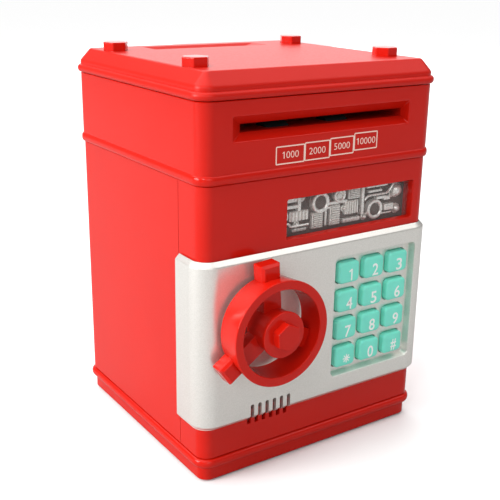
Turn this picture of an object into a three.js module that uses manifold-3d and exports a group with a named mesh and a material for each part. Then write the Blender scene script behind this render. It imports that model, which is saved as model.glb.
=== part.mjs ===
// Toy safe coin bank: a red ABS cabinet with a silver door, a handwheel latch, a keypad,
// a motor-driven banknote slot, a coin slot in the lid and a battery bay in the base.
// Millimetres, +Z up, front of the cabinet towards -Y. Every solid is one closed body.
import * as THREE from 'three';
import { mergeVertices } from 'three/addons/utils/BufferGeometryUtils.js';
import Module from 'manifold-3d';

const wasm = await Module();
wasm.setup();

// ---------- driving dimensions ----------
const WALL = 2.2;
const FIT = 0.3;
const LOWER = { halfWidth: 63.2, halfDepth: 59.5, corner: 6 };
const UPPER = { halfWidth: 63.7, halfDepth: 60, corner: 6.5 };
const SKIRT_INSET = 0.8;
const BASE_BEAD = { bottom: 7.5, top: 11.8, out: 1.5 };
const BODY_BEAD = { bottom: 137.6, top: 141.6, out: 1.4 };
const LID_BEAD = { bottom: 171.8, top: 175.4, out: 1.5 };
const LID_CHAMFER = { bottom: 177.35, inset: 5, top: 183 };
const SHELL_SEAM_Y = -40.35;
const FRONT = -LOWER.halfDepth;
const UPPER_FRONT = -UPPER.halfDepth;

const BOLT_CAP = { radius: 6.1, top: 187, x: 51.8, y: 37.5, shift: -1, bevel: 0.5 };
const COIN_RECESS = { halfWidth: 33, front: 34, back: 48, depth: 3 };
const COIN_SLOT = { halfWidth: 20, width: 3.6, y: 41 };
const BILL_BEZEL = { left: -48.7, right: 47.8, bottom: 154.5, top: 165 };
const BILL_SLOT = { left: -42.2, right: 46.6, bottom: 157.5, top: 160.8, depth: 5 };
const WINDOW = { left: -19.9, right: 54.3, bottom: 108.5, top: 126.8, depth: 3 };

const DOOR = { face: -62.2, side: 65.9, corner: 9.5, bottom: 26.3, top: 105.8, chamfer: 2.6, wrapEnd: -42 };
const DOOR_OPENING = { left: -51.2, bottom: 31, top: 101.5 };
const KEYPAD = {
  left: 6.5, right: 56.3, bottom: 36.4, top: 96.5, depth: 3.3, floor: 1.6, wall: 1.5, lean: 1,
};
const KEY = {
  width: 12.1, height: 10.5, corner: 2.2, face: -61.9, pitchX: 15.2, pitchZ: 14.2, gap: 0.4, flange: 2,
};
const KEYPAD_CENTRE = { x: 30.6, z: 66.5 };
const VENT = { count: 6, pitch: 4.02, first: -39.15, width: 1.9, top: 34.8, bottom: 23.7 };

const WHEEL = {
  x: -34.2, z: 74.1, tilt: 4.6, front: -78.2, back: -64.2, outerFront: 24, outerBack: 22.6, bore: 19.9,
};
const SPOKE = { halfWidth: 4.6, front: -71.5, start: 5 };
const LUG = { width: 9.8, reach: 29.9, front: -72.4, back: -65.6 };
const HUB = {
  radius: 9.6, front: -77.1, back: -65, boss: 7,
  discRadius: 10.45, discFront: -79.2, hexRadius: 6.4, hexFront: -83,
};
const SPINDLE_RADIUS = 2.8;
const SPINDLE_GAP = 0.4;
const CAM = { front: -49.9, back: -48.3, reach: 21, width: 8, hub: 7 };
const LOCK_DISC = { radius: 9, front: -56.6, back: -54.8, notch: 3.6, halfNotch: 2.2 };

const HINGE = { x: 64.2, y: -39.9, radius: 1.7, bore: 0.9, pin: 0.6, bottom: 31.5, pitch: 13.9, count: 5 };

const ROLLER = { radius: 5.3, width: 12, y: -44, z: 153.3, idlerZ: 164.3, left: -18.2, right: 14.8 };
const SHAFT_RADIUS = 1.5;
const GEAR_MODULE = 0.9;
const TEETH = { shaft: 20, small: 8, large: 21, motor: 6 };

const BATTERY = { radius: 7.1, length: 50, pitch: 15.2, z: 12.4, y: 23.5, button: 2.7 };
const FOOT = { radius: 6, x: 52, y: 46, top: 1.6 };

// ---------- materials ----------
const finish = (color, roughness, metalness = 0) =>
  new THREE.MeshStandardMaterial({ color, roughness, metalness });
const redAbs = () => finish('#c41a16', 0.28);
const silverLacquer = () => finish('#d8d6d0', 0.38, 0.6);
const platedRelief = () => finish('#c8c8c2', 0.22, 0.9);
const mintRubber = () => finish('#57c3a9', 0.55);
const steel = () => finish('#b9bbbd', 0.3, 1);
const blackPlastic = () => finish('#1b1a1c', 0.5);
const blackRubber = () => finish('#222123', 0.85);
const whitePlastic = () => finish('#e6e4da', 0.5);

// ---------- shape helpers ----------
function solid(geometry) {
  geometry.deleteAttribute('normal');
  geometry.deleteAttribute('uv');
  const merged = mergeVertices(geometry, 1e-4);
  return new wasm.Manifold(new wasm.Mesh({
    numProp: 3,
    vertProperties: new Float32Array(merged.attributes.position.array),
    triVerts: new Uint32Array(merged.index.array),
  }));
}

const join = (...solids) => solids.flat().reduce((sum, next) => sum.add(next));
const cut = (body, ...tools) => tools.flat().reduce((rest, tool) => rest.subtract(tool), body);

function box(x0, x1, y0, y1, z0, z1) {
  const geometry = new THREE.BoxGeometry(x1 - x0, y1 - y0, z1 - z0);
  geometry.translate((x0 + x1) / 2, (y0 + y1) / 2, (z0 + z1) / 2);
  return solid(geometry);
}

// A box whose section changes from rectangle a (at low) to rectangle b (at high).
// Rectangles are [u0, u1, v0, v1]; the box runs along Y (u = x, v = z) or Z (u = x, v = y).
function taperedBox(axis, low, high, a, b) {
  const geometry = new THREE.BoxGeometry(1, 1, 1);
  const p = geometry.attributes.position;
  const alongY = axis === 'y';
  for (let i = 0; i < p.count; i += 1) {
    const t = alongY ? p.getY(i) : p.getZ(i);
    const v = alongY ? p.getZ(i) : p.getY(i);
    const [u0, u1, v0, v1] = t < 0 ? a : b;
    const u = p.getX(i) < 0 ? u0 : u1;
    const w = v < 0 ? v0 : v1;
    const along = t < 0 ? low : high;
    p.setXYZ(i, u, alongY ? along : w, alongY ? w : along);
  }
  return solid(geometry);
}

function roundedRectangle(x0, x1, y0, y1, radius) {
  const shape = new THREE.Shape();
  shape.moveTo(x0 + radius, y0);
  shape.lineTo(x1 - radius, y0);
  shape.absarc(x1 - radius, y0 + radius, radius, -Math.PI / 2, 0);
  shape.lineTo(x1, y1 - radius);
  shape.absarc(x1 - radius, y1 - radius, radius, 0, Math.PI / 2);
  shape.lineTo(x0 + radius, y1);
  shape.absarc(x0 + radius, y1 - radius, radius, Math.PI / 2, Math.PI);
  shape.lineTo(x0, y0 + radius);
  shape.absarc(x0 + radius, y0 + radius, radius, Math.PI, 1.5 * Math.PI);
  return shape;
}

const bodyOutline = ({ halfWidth, halfDepth, corner }, inset = 0) => roundedRectangle(
  -halfWidth + inset, halfWidth - inset, -halfDepth + inset, halfDepth - inset,
  Math.max(corner - inset, 1));

function extrude(shape, z0, z1, options = {}) {
  const { inset = 0, rise = 0, steps = 1, curveSegments = 4 } = options;
  const geometry = new THREE.ExtrudeGeometry(shape, {
    depth: z1 - z0 - 2 * rise,
    bevelEnabled: rise > 0,
    bevelThickness: rise,
    bevelSize: inset,
    bevelOffset: -inset,
    bevelSegments: steps,
    curveSegments,
  });
  geometry.translate(0, 0, z0 + rise);
  return solid(geometry);
}

// A prism whose top edge alone is chamfered.
function chamferedTop(shape, z0, z1, inset, rise) {
  const tall = extrude(shape, z0 - rise - 1, z1, { inset, rise });
  return cut(tall, box(-90, 90, -90, 90, z0 - rise - 2, z0));
}

function bead(body, { bottom, top, out }) {
  const rise = (top - bottom) / 2 - 0.05;
  const grown = {
    halfWidth: body.halfWidth + out,
    halfDepth: body.halfDepth + out,
    corner: body.corner + out,
  };
  return extrude(bodyOutline(grown), bottom, top, { inset: out + 0.2, rise, steps: 2 });
}

// A cylinder along an axis, from a to b, at the two remaining coordinates in xyz order.
function rod(axis, radius, a, b, u, v, sides = 16, endRadius = radius) {
  const geometry = new THREE.CylinderGeometry(endRadius, radius, b - a, sides);
  if (axis === 'x') {
    geometry.rotateZ(-Math.PI / 2);
    geometry.translate((a + b) / 2, u, v);
  } else if (axis === 'y') {
    geometry.translate(u, (a + b) / 2, v);
  } else {
    geometry.rotateX(Math.PI / 2);
    geometry.translate(u, v, (a + b) / 2);
  }
  return solid(geometry);
}

function gear(teeth, x0, x1, y, z, phase) {
  const pitchRadius = teeth * GEAR_MODULE / 2;
  const root = pitchRadius - 0.7;
  const tip = pitchRadius + 0.45;
  const shape = new THREE.Shape();
  for (let i = 0; i < teeth; i += 1) {
    const centre = phase + (i * 2 * Math.PI) / teeth;
    const corners = [[-0.24, root], [-0.13, tip], [0.13, tip], [0.24, root]];
    corners.forEach(([turn, radius]) => {
      const angle = centre + (turn * 2 * Math.PI) / teeth;
      const point = [radius * Math.cos(angle), radius * Math.sin(angle)];
      if (i === 0 && turn === -0.24) shape.moveTo(...point);
      else shape.lineTo(...point);
    });
  }
  const geometry = new THREE.ExtrudeGeometry(shape, { depth: x1 - x0, bevelEnabled: false });
  geometry.rotateX(Math.PI / 2);
  geometry.rotateZ(Math.PI / 2);
  geometry.translate(x0, y, z);
  return solid(geometry);
}

const assembly = new THREE.Group();

function addPart(name, body, material) {
  const { vertProperties, triVerts } = body.getMesh();
  const geometry = new THREE.BufferGeometry();
  geometry.setAttribute('position', new THREE.BufferAttribute(vertProperties, 3));
  geometry.setIndex(new THREE.BufferAttribute(triVerts, 1));
  geometry.computeVertexNormals();
  const mesh = new THREE.Mesh(geometry, material);
  mesh.name = name;
  assembly.add(mesh);
}

// Corner name, side along X, side along Y and the turn of the corner's bolt cap in degrees.
const CORNERS = [
  ['front_left', -1, -1, 53], ['front_right', 1, -1, 5], ['rear_left', -1, 1, 53], ['rear_right', 1, 1, 2],
];

// ---------- base ----------
// The pan carries the skirt, the base bead, a battery bay and the bosses of the feet.
const BAY = { halfWidth: 27, front: 0.5, back: 46.5, roof: 20.7, wall: 4 };
const PAN_FLOOR = { bottom: 3, top: 5.4 };
const PAN_NECK = { bottom: 11, top: 15.5, clearance: 0.4, wall: 2 };
const SKIRT_BOTTOM = 0.8;
const COVER_HOLE = { halfWidth: 29, front: -1.5, back: 48.5 };
const TAB_HOLE = { halfWidth: 6.5, front: -9.5 };
const SCREW = {
  y: -5.2, headBottom: 1.6, headTop: 3, tip: 12, headRadius: 2.6, radius: 0.8, bore: 1.1, boss: 4.5,
};

function basePan() {
  const inset = WALL + PAN_NECK.clearance;
  const neck = { ...LOWER, halfWidth: LOWER.halfWidth - inset, halfDepth: LOWER.halfDepth - inset };
  const shell = join(
    extrude(bodyOutline(LOWER, SKIRT_INSET), SKIRT_BOTTOM, BASE_BEAD.bottom + BASE_BEAD.out),
    bead(LOWER, BASE_BEAD),
    extrude(bodyOutline(neck), PAN_NECK.bottom, PAN_NECK.top),
  );
  const hollow = [
    extrude(bodyOutline(LOWER, SKIRT_INSET + PAN_NECK.wall), 0, PAN_FLOOR.bottom),
    extrude(bodyOutline(neck, PAN_NECK.wall), PAN_FLOOR.top, PAN_NECK.top + 1),
  ];
  const bosses = CORNERS.map(([, sx, sy]) =>
    rod('z', FOOT.radius + 1, FOOT.top + FIT, PAN_FLOOR.bottom + 0.5, sx * FOOT.x, sy * FOOT.y));
  const bayBlock = box(-BAY.halfWidth - BAY.wall, BAY.halfWidth + BAY.wall,
    BAY.front - BAY.wall, BAY.back + BAY.wall, PAN_FLOOR.bottom, BAY.roof + 1.8);
  const boss = rod('z', SCREW.boss, PAN_FLOOR.bottom, SCREW.tip + 2, 0, SCREW.y);
  const body = join(cut(shell, hollow), bosses, bayBlock, boss);
  return cut(body,
    box(-COVER_HOLE.halfWidth, COVER_HOLE.halfWidth, COVER_HOLE.front, COVER_HOLE.back, 0, PAN_FLOOR.top),
    box(-TAB_HOLE.halfWidth, TAB_HOLE.halfWidth, TAB_HOLE.front, 0, 0, PAN_FLOOR.top),
    box(-BAY.halfWidth, BAY.halfWidth, BAY.front, BAY.back, PAN_FLOOR.top - 0.5, BAY.roof),
    rod('z', SCREW.bore, 0, SCREW.tip + 0.5, 0, SCREW.y, 12));
}

function batteryCover() {
  const bottom = PAN_FLOOR.bottom + FIT;
  const top = PAN_FLOOR.top - FIT;
  const halfWidth = COVER_HOLE.halfWidth - FIT;
  const halfTab = TAB_HOLE.halfWidth - FIT;
  const plate = join(
    box(-halfWidth, halfWidth, COVER_HOLE.front + FIT, COVER_HOLE.back - FIT, bottom, top),
    box(-halfTab, halfTab, TAB_HOLE.front + FIT, 0, bottom, top));
  return cut(plate, rod('z', SCREW.bore, 0, top + 1, 0, SCREW.y, 12));
}

const batteryScrew = () => join(
  rod('z', SCREW.headRadius, SCREW.headBottom, SCREW.headTop, 0, SCREW.y),
  rod('z', SCREW.radius, SCREW.headTop - 0.5, SCREW.tip, 0, SCREW.y, 10));

addPart('base_pan', basePan(), redAbs());
addPart('battery_cover', batteryCover(), redAbs());
addPart('battery_cover_screw', batteryScrew(), steel());
CORNERS.forEach(([corner, sx, sy]) => {
  const pad = rod('z', FOOT.radius, 0, FOOT.top, sx * FOOT.x, sy * FOOT.y);
  addPart(`foot_${corner}`, pad, blackRubber());
});
[-1, 0, 1].forEach((step, i) => {
  const y = BATTERY.y + step * BATTERY.pitch;
  const half = BATTERY.length / 2;
  const cell = rod('x', BATTERY.radius, -half + 0.5, half - 1, y, BATTERY.z);
  const flip = step === 0 ? -1 : 1;
  const end = flip > 0 ? half - 1.2 : -half + 0.7;
  const low = Math.min(end, end + flip);
  const button = rod('x', BATTERY.button, low, low + 1, y, BATTERY.z, 12);
  addPart(`battery_${i + 1}`, join(cell, button), finish('#3b5f92', 0.4, 0.3));
});

// The speaker sits in the base behind the slots, facing forwards.
const SPEAKER = { x: -29.2, z: 17.8, front: -54.3, rim: -51.9, cone: -48.6, back: -46 };

addPart('speaker', join(
  rod('y', 10.5, SPEAKER.front, SPEAKER.rim, SPEAKER.x, SPEAKER.z, 28),
  rod('y', 8, SPEAKER.rim - 0.2, SPEAKER.cone, SPEAKER.x, SPEAKER.z, 24, 5.5),
  rod('y', 5.5, SPEAKER.cone - 0.5, SPEAKER.back, SPEAKER.x, SPEAKER.z, 20)), blackPlastic());

// ---------- lower cabinet ----------
const SHELL_BOTTOM = BASE_BEAD.top + FIT;
const SHELL_TOP = BODY_BEAD.bottom - FIT;

const cabinetTube = () => cut(
  extrude(bodyOutline(LOWER), SHELL_BOTTOM, SHELL_TOP),
  extrude(bodyOutline(LOWER, WALL), SHELL_BOTTOM - 1, SHELL_TOP + 1));

// Hinge knuckles alternate between the shell (even) and the door (odd).
function knuckles(parity, radius, gap) {
  const list = [];
  for (let i = parity; i < HINGE.count; i += 2) {
    const bottom = HINGE.bottom + i * HINGE.pitch;
    list.push(rod('z', radius, bottom + gap, bottom + HINGE.pitch - gap, HINGE.x, HINGE.y, 12));
  }
  return list;
}
const hingeTop = HINGE.bottom + HINGE.count * HINGE.pitch;
const hingeBore = () => rod('z', HINGE.bore, HINGE.bottom - 5, hingeTop + 5, HINGE.x, HINGE.y, 8);

function rearShell() {
  const shell = cut(cabinetTube(), box(-80, 80, -80, SHELL_SEAM_Y + FIT / 2, 0, 150));
  const cleared = cut(shell, knuckles(1, HINGE.radius + 0.5, -0.2));
  return cut(join(cleared, knuckles(0, HINGE.radius, 0.2)), hingeBore());
}

const POCKET = { wall: 2.3, room: 2, reach: 6.5 };
const STRIKE = { left: -61.5, bottom: 64, top: 84, gap: 0.4 };
const WINDOW_LEAN = 0.4;
const VENT_END = DOOR_OPENING.bottom - 1.5;

function windowPocket() {
  const { left, right, bottom, top, depth } = WINDOW;
  const rimBack = FRONT + depth;
  const { wall, room, reach } = POCKET;
  const edge = wall + room;
  const outer = box(left - edge, right + edge, FRONT + 1, rimBack + reach, bottom - edge, top + edge);
  return cut(outer, box(left - room, right + room, rimBack, rimBack + reach + 1, bottom - room, top + room));
}

function frontFrame() {
  const shell = cut(cabinetTube(), box(-80, 80, SHELL_SEAM_Y - FIT / 2, 80, 0, 150));
  const strike = box(STRIKE.left, DOOR_OPENING.left, FRONT + 1, CAM.front - STRIKE.gap,
    STRIKE.bottom, STRIKE.top);
  const { left, right, bottom, top, depth } = WINDOW;
  const windowCut = taperedBox('y', FRONT - 1, FRONT + depth + 0.5,
    [left - WINDOW_LEAN, right + WINDOW_LEAN, bottom - WINDOW_LEAN, top + WINDOW_LEAN],
    [left, right, bottom, top]);
  const slots = [];
  for (let i = 0; i < VENT.count; i += 1) {
    const x = VENT.first + i * VENT.pitch;
    slots.push(box(x, x + VENT.width, FRONT - 2, FRONT + 4, VENT.bottom, VENT_END));
  }
  const opening = box(DOOR_OPENING.left, 80, -80, -39, DOOR_OPENING.bottom, DOOR_OPENING.top);
  return cut(join(cut(shell, opening), strike, windowPocket()), windowCut, slots);
}

const VAULT = { bottom: 28.8, top: 30.5, clearance: 0.4, legX: 50, legY: 40, legHalf: 3 };

function vaultFloor() {
  const plate = extrude(bodyOutline(LOWER, WALL + VAULT.clearance), VAULT.bottom, VAULT.top);
  const legs = CORNERS.map(([, sx, sy]) => {
    const x = sx * VAULT.legX;
    const y = sy * VAULT.legY;
    return box(x - VAULT.legHalf, x + VAULT.legHalf, y - VAULT.legHalf, y + VAULT.legHalf,
      PAN_FLOOR.top + FIT, VAULT.bottom + 0.2);
  });
  return join(plate, legs);
}

addPart('rear_shell', rearShell(), redAbs());
addPart('front_frame', frontFrame(), redAbs());
addPart('vault_floor', vaultFloor(), blackPlastic());

// ---------- window ----------
const LENS_FRONT = FRONT + WINDOW.depth + FIT;
const RELIEF = { plate: LENS_FRONT + 4.6, back: LENS_FRONT + 5.8, overlap: 1.6 };

const LENS = { thickness: 1.2, overlap: 1.7 };
addPart('window_lens', box(WINDOW.left - LENS.overlap, WINDOW.right + LENS.overlap,
  LENS_FRONT, LENS_FRONT + LENS.thickness,
  WINDOW.bottom - LENS.overlap, WINDOW.top + LENS.overlap), finish('#f2f4f4', 0.05));

// The relief imitates vault machinery: dials, ribbed blocks, finned stacks, domes and brackets.
function machineryRelief() {
  const left = WINDOW.left - RELIEF.overlap;
  const right = WINDOW.right + RELIEF.overlap;
  const low = WINDOW.bottom - RELIEF.overlap;
  const high = WINDOW.top + RELIEF.overlap;
  const at = (x0, x1, z0, z1, rise) => box(x0, x1, RELIEF.plate - rise, RELIEF.plate + 0.4, z0, z1);
  const disc = (x, z, radius, rise) => rod('y', radius, RELIEF.plate - rise, RELIEF.plate + 0.4, x, z, 12);
  const parts = [box(left, right, RELIEF.plate, RELIEF.back, low, high)];
  // Dials as x, z and radius; fins as x, z, count and pitch; blocks as x0, x1, z0, z1 and rise.
  const dials = [[-13, 117.5, 5.2], [13.5, 116, 4.6], [35.5, 118, 5.6]];
  dials.forEach(([x, z, radius]) => {
    parts.push(disc(x, z, radius, 1.6), disc(x, z, radius * 0.62, 2.4), disc(x, z, radius * 0.28, 3));
  });
  const fins = [[-4, 110.5, 5, 1.5], [21, 111, 6, 1.35], [43.5, 110, 5, 1.6]];
  fins.forEach(([x, z, count, pitch]) => {
    for (let i = 0; i < count; i += 1) parts.push(at(x + i * pitch, x + i * pitch + 0.7, z, z + 9, 2.3));
    parts.push(at(x - 0.6, x + count * pitch, z + 3, z + 5.6, 1.5));
  });
  const blocks = [[-19, -8, 109.6, 111.8, 1.8], [-3, 6, 121, 125, 2.6], [7.5, 19, 122, 124, 1.6],
    [21, 29, 121.5, 125.4, 2.4], [30.5, 41, 109.8, 112, 2], [43, 51.5, 121, 125.2, 2.7]];
  blocks.forEach((block) => parts.push(at(...block)));
  const domes = [[-17.5, 124], [9.5, 110.8], [31, 124.4], [52, 111.5]];
  domes.forEach(([x, z]) => parts.push(disc(x, z, 1.5, 2.2)));
  return join(parts);
}
addPart('machinery_relief', machineryRelief(), platedRelief());

// ---------- upper cabinet ----------
const THROAT = { side: 2, height: 1.5 };
const LID_LIP = { gap: 0.4, wall: 1.6, bottom: LID_BEAD.bottom - 3.5, top: LID_BEAD.bottom + 3 };
const LID_HOLLOW_INSET = WALL + 0.3;

function upperShell() {
  const { left, right, bottom, top } = BILL_BEZEL;
  const shell = join(
    extrude(bodyOutline(UPPER), BODY_BEAD.top - 0.6, LID_BEAD.bottom - FIT),
    bead(LOWER, BODY_BEAD));
  const hollow = extrude(bodyOutline(UPPER, WALL), BODY_BEAD.bottom - 1, LID_BEAD.top);
  const throat = box(left - THROAT.side, right + THROAT.side, UPPER_FRONT + 1, UPPER_FRONT + BILL_SLOT.depth,
    bottom - THROAT.height, top + THROAT.height);
  const mouth = taperedBox('y', UPPER_FRONT - 0.01, UPPER_FRONT + BILL_SLOT.depth + 0.01,
    [left, right, bottom, top], [BILL_SLOT.left, BILL_SLOT.right, BILL_SLOT.bottom, BILL_SLOT.top]);
  return cut(join(cut(shell, hollow), throat), mouth);
}

function lid() {
  const outer = chamferedTop(bodyOutline(UPPER), LID_BEAD.bottom + 0.6, LID_CHAMFER.top,
    LID_CHAMFER.inset, LID_CHAMFER.top - LID_CHAMFER.bottom);
  const inner = { ...UPPER, corner: UPPER.corner + WALL };
  const hollow = chamferedTop(bodyOutline(inner, LID_HOLLOW_INSET), LID_BEAD.bottom - 1,
    LID_CHAMFER.top - WALL, LID_CHAMFER.inset, LID_CHAMFER.top - LID_CHAMFER.bottom);
  const lipOuter = extrude(bodyOutline(UPPER, WALL + LID_LIP.gap), LID_LIP.bottom, LID_LIP.top);
  const lipInner = extrude(bodyOutline(UPPER, WALL + LID_LIP.gap + LID_LIP.wall),
    LID_LIP.bottom - 0.5, LID_LIP.top + 2);
  const { halfWidth, front, back, depth } = COIN_RECESS;
  const well = box(-halfWidth - 1, halfWidth + 1, front - 1, back + 1,
    LID_CHAMFER.top - depth - 2, LID_CHAMFER.top - 1);
  const slotFront = COIN_SLOT.y - COIN_SLOT.width / 2;
  const slotBack = COIN_SLOT.y + COIN_SLOT.width / 2;
  const recess = taperedBox('z', LID_CHAMFER.top - depth, LID_CHAMFER.top + 0.01,
    [-COIN_SLOT.halfWidth, COIN_SLOT.halfWidth, slotFront, slotBack], [-halfWidth, halfWidth, front, back]);
  const slot = box(-COIN_SLOT.halfWidth, COIN_SLOT.halfWidth, slotFront, slotBack, 170, LID_CHAMFER.top);
  const shell = cut(join(outer, bead(UPPER, LID_BEAD)), hollow);
  return cut(join(shell, cut(lipOuter, lipInner), well), recess, slot);
}

function boltCap(sx, sy, turn) {
  const { radius, top, x, y, shift, bevel } = BOLT_CAP;
  const foot = LID_CHAMFER.top + 0.1;
  const hexagon = join(
    rod('z', radius, foot, top - bevel, 0, 0, 6),
    rod('z', radius, top - bevel, top, 0, 0, 6, radius - bevel));
  const cornerTurn = 30;
  return hexagon.rotate([0, 0, turn + cornerTurn]).translate([sx * x + shift, sy * y, 0]);
}

addPart('upper_shell', upperShell(), redAbs());
addPart('lid', lid(), redAbs());
CORNERS.forEach(([corner, sx, sy, turn]) => {
  addPart(`lid_bolt_cap_${corner}`, boltCap(sx, sy, turn), redAbs());
});

// ---------- banknote feeder and coin chute ----------
const DECK = { bottom: 142, top: 143.8 };
const STAND = DECK.top + FIT;
const CHEEK = { inner: 47.2, outer: 49.2, front: -54.5, middle: -30, back: -15, top: 168.5, motorTop: 178 };
const GUIDE_FLOOR = { back: -34, bottom: 155.6, top: 157.1 };
const NOTE_DROP = { left: -44, right: 46, front: -33, back: -6 };
const COIN_DROP = { halfWidth: 25, front: 34.5, back: 47.5 };
const SHAFT_DISTANCE = 8.91;
const REDUCTION = { y: ROLLER.y + SHAFT_DISTANCE, z: ROLLER.z + SHAFT_DISTANCE };
const MOTOR_ANGLE = 0.66;
const MOTOR_REACH = (TEETH.large + TEETH.motor) * GEAR_MODULE / 2;
const MOTOR = {
  y: REDUCTION.y + MOTOR_REACH * Math.cos(MOTOR_ANGLE),
  z: REDUCTION.z + MOTOR_REACH * Math.sin(MOTOR_ANGLE),
};

function mechanismDeck() {
  const plate = extrude(bodyOutline(UPPER, WALL + 0.4), DECK.bottom, DECK.top);
  const low = DECK.bottom - 1;
  const high = DECK.top + 1;
  return cut(plate,
    box(NOTE_DROP.left, NOTE_DROP.right, NOTE_DROP.front, NOTE_DROP.back, low, high),
    box(-COIN_DROP.halfWidth, COIN_DROP.halfWidth, COIN_DROP.front, COIN_DROP.back, low, high));
}

function billGuide() {
  const { y, z, idlerZ } = ROLLER;
  const { inner, outer, front, middle, back, top, motorTop } = CHEEK;
  const cheeks = [
    box(-outer, -inner, front, middle, STAND, top),
    box(inner, outer, front, back, STAND, top),
    box(inner, outer, GUIDE_FLOOR.back, back, STAND, motorTop),
  ];
  const floor = box(-inner - 1, inner + 1, front, GUIDE_FLOOR.back, GUIDE_FLOOR.bottom, GUIDE_FLOOR.top);
  const tie = box(-inner - 1, inner + 1, front, front + 4.5, STAND, STAND + 1.5);
  const axle = rod('x', 1.2, inner, 57.5, REDUCTION.y, REDUCTION.z, 12);
  const halfWindow = ROLLER.width / 2 + 0.8;
  const windows = [ROLLER.left, ROLLER.right].map((x) => box(x - halfWindow, x + halfWindow,
    y - 6, y + 6, GUIDE_FLOOR.bottom - 1, GUIDE_FLOOR.top + 1));
  return cut(join(cheeks, floor, tie, axle), windows,
    rod('x', SHAFT_RADIUS + 0.4, -60, 60, y, z, 16),
    rod('x', SHAFT_RADIUS + 0.4, -60, 60, y, idlerZ, 16),
    rod('x', 4, 40, 60, MOTOR.y, MOTOR.z, 16));
}

function feedRoller(x) {
  const tyre = rod('x', ROLLER.radius, x - ROLLER.width / 2, x + ROLLER.width / 2, ROLLER.y, ROLLER.z, 24);
  return cut(tyre, rod('x', SHAFT_RADIUS + FIT, x - 20, x + 20, ROLLER.y, ROLLER.z, 12));
}

function idlerRoller() {
  const parts = [rod('x', SHAFT_RADIUS, -50.5, 50.5, ROLLER.y, ROLLER.idlerZ, 12)];
  [ROLLER.left, ROLLER.right].forEach((x) => {
    parts.push(rod('x', ROLLER.radius, x - ROLLER.width / 2, x + ROLLER.width / 2,
      ROLLER.y, ROLLER.idlerZ, 24));
  });
  return join(parts);
}

// A small DC motor can: a cylinder with two flats and a bearing boss at its back.
const CAN = { radius: 10, halfHeight: 7.5, back: 24, front: 46.7, bossRadius: 4, bossBack: 21 };
// The first pair of gears meshes in one plane beyond the cheek, the second pair in the next.
const FIRST_PAIR = { left: 50.3, right: 53.3 };
const SECOND_PAIR = { left: 54.2, right: 56.4 };

function feedMotor() {
  const aside = 20;
  const can = cut(rod('x', CAN.radius, CAN.back, CAN.front, MOTOR.y, MOTOR.z, 24),
    box(0, 60, MOTOR.y - aside, MOTOR.y + aside, MOTOR.z + CAN.halfHeight, MOTOR.z + aside),
    box(0, 60, MOTOR.y - aside, MOTOR.y + aside, MOTOR.z - aside, MOTOR.z - CAN.halfHeight));
  return join(can, rod('x', CAN.bossRadius, CAN.bossBack, CAN.back + 0.5, MOTOR.y, MOTOR.z, 16));
}

function reductionGear() {
  const { y, z } = REDUCTION;
  const small = gear(TEETH.small, FIRST_PAIR.left, SECOND_PAIR.left + 0.2, y, z, Math.PI / 4 + Math.PI);
  const large = gear(TEETH.large, SECOND_PAIR.left, SECOND_PAIR.right, y, z, MOTOR_ANGLE);
  return cut(join(small, large), rod('x', SHAFT_RADIUS, 45, 60, y, z, 12));
}

function motorPinion() {
  const phase = MOTOR_ANGLE + Math.PI + Math.PI / TEETH.motor;
  return join(gear(TEETH.motor, SECOND_PAIR.left, SECOND_PAIR.right, MOTOR.y, MOTOR.z, phase),
    rod('x', 1, CAN.front + FIT, SECOND_PAIR.right + 0.6, MOTOR.y, MOTOR.z, 12));
}

function shaftGear() {
  const phase = Math.PI / 4 + Math.PI / TEETH.shaft;
  return cut(gear(TEETH.shaft, FIRST_PAIR.left, FIRST_PAIR.right, ROLLER.y, ROLLER.z, phase),
    rod('x', SHAFT_RADIUS + FIT, 45, 60, ROLLER.y, ROLLER.z, 12));
}

const CHUTE = { halfWidth: 24, front: 35.5, back: 46.5, bottom: 120, top: 176.5, wall: 1.5, flange: 4 };

function coinChute() {
  const { halfWidth, front, back, bottom, top, wall, flange } = CHUTE;
  const outer = join(box(-halfWidth, halfWidth, front, back, bottom, top),
    box(-halfWidth - flange, halfWidth + flange, front - 3, back + 3, STAND, STAND + wall));
  return cut(outer, box(-halfWidth + wall, halfWidth - wall, front + wall, back - wall, bottom - 1, top + 1));
}

// The board carries a chip, a driver, a capacitor and a connector.
function mainBoard() {
  const base = STAND + 1;
  return join(
    box(-58, -16, -2, 28, base, base + 1.6),
    box(-50, -38, 4, 16, base, base + 3.4),
    box(-32, -22, 8, 14, base, base + 3),
    rod('z', 3, base, base + 9, -27, 21, 16),
    box(-56, -52, 18, 26, base, base + 7));
}

addPart('mechanism_deck', mechanismDeck(), blackPlastic());
addPart('bill_guide', billGuide(), redAbs());
addPart('feed_shaft', rod('x', SHAFT_RADIUS, -50.5, 53.9, ROLLER.y, ROLLER.z, 12), steel());
addPart('feed_roller_left', feedRoller(ROLLER.left), blackRubber());
addPart('feed_roller_right', feedRoller(ROLLER.right), blackRubber());
addPart('idler_roller', idlerRoller(), blackRubber());
addPart('feed_shaft_gear', shaftGear(), whitePlastic());
addPart('reduction_gear', reductionGear(), whitePlastic());
addPart('motor_pinion', motorPinion(), steel());
addPart('feed_motor', feedMotor(), steel());
addPart('coin_chute', coinChute(), whitePlastic());
addPart('main_board', mainBoard(), finish('#2f7a46', 0.5));

// ---------- door ----------
const KEY_ROWS = [
  ['key_1', 'key_2', 'key_3'], ['key_4', 'key_5', 'key_6'],
  ['key_7', 'key_8', 'key_9'], ['key_star', 'key_0', 'key_hash'],
];
const DOOR_GAP = { left: 0.9, right: 0.6, front: 0.6 };
const RECESS_FLOOR = DOOR.face + KEYPAD.depth;
const TUB_BACK = RECESS_FLOOR + KEYPAD.floor;
const keyCentre = (row, column) => [
  KEYPAD_CENTRE.x + (column - 1) * KEY.pitchX,
  KEYPAD_CENTRE.z + (1.5 - row) * KEY.pitchZ,
];

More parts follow.
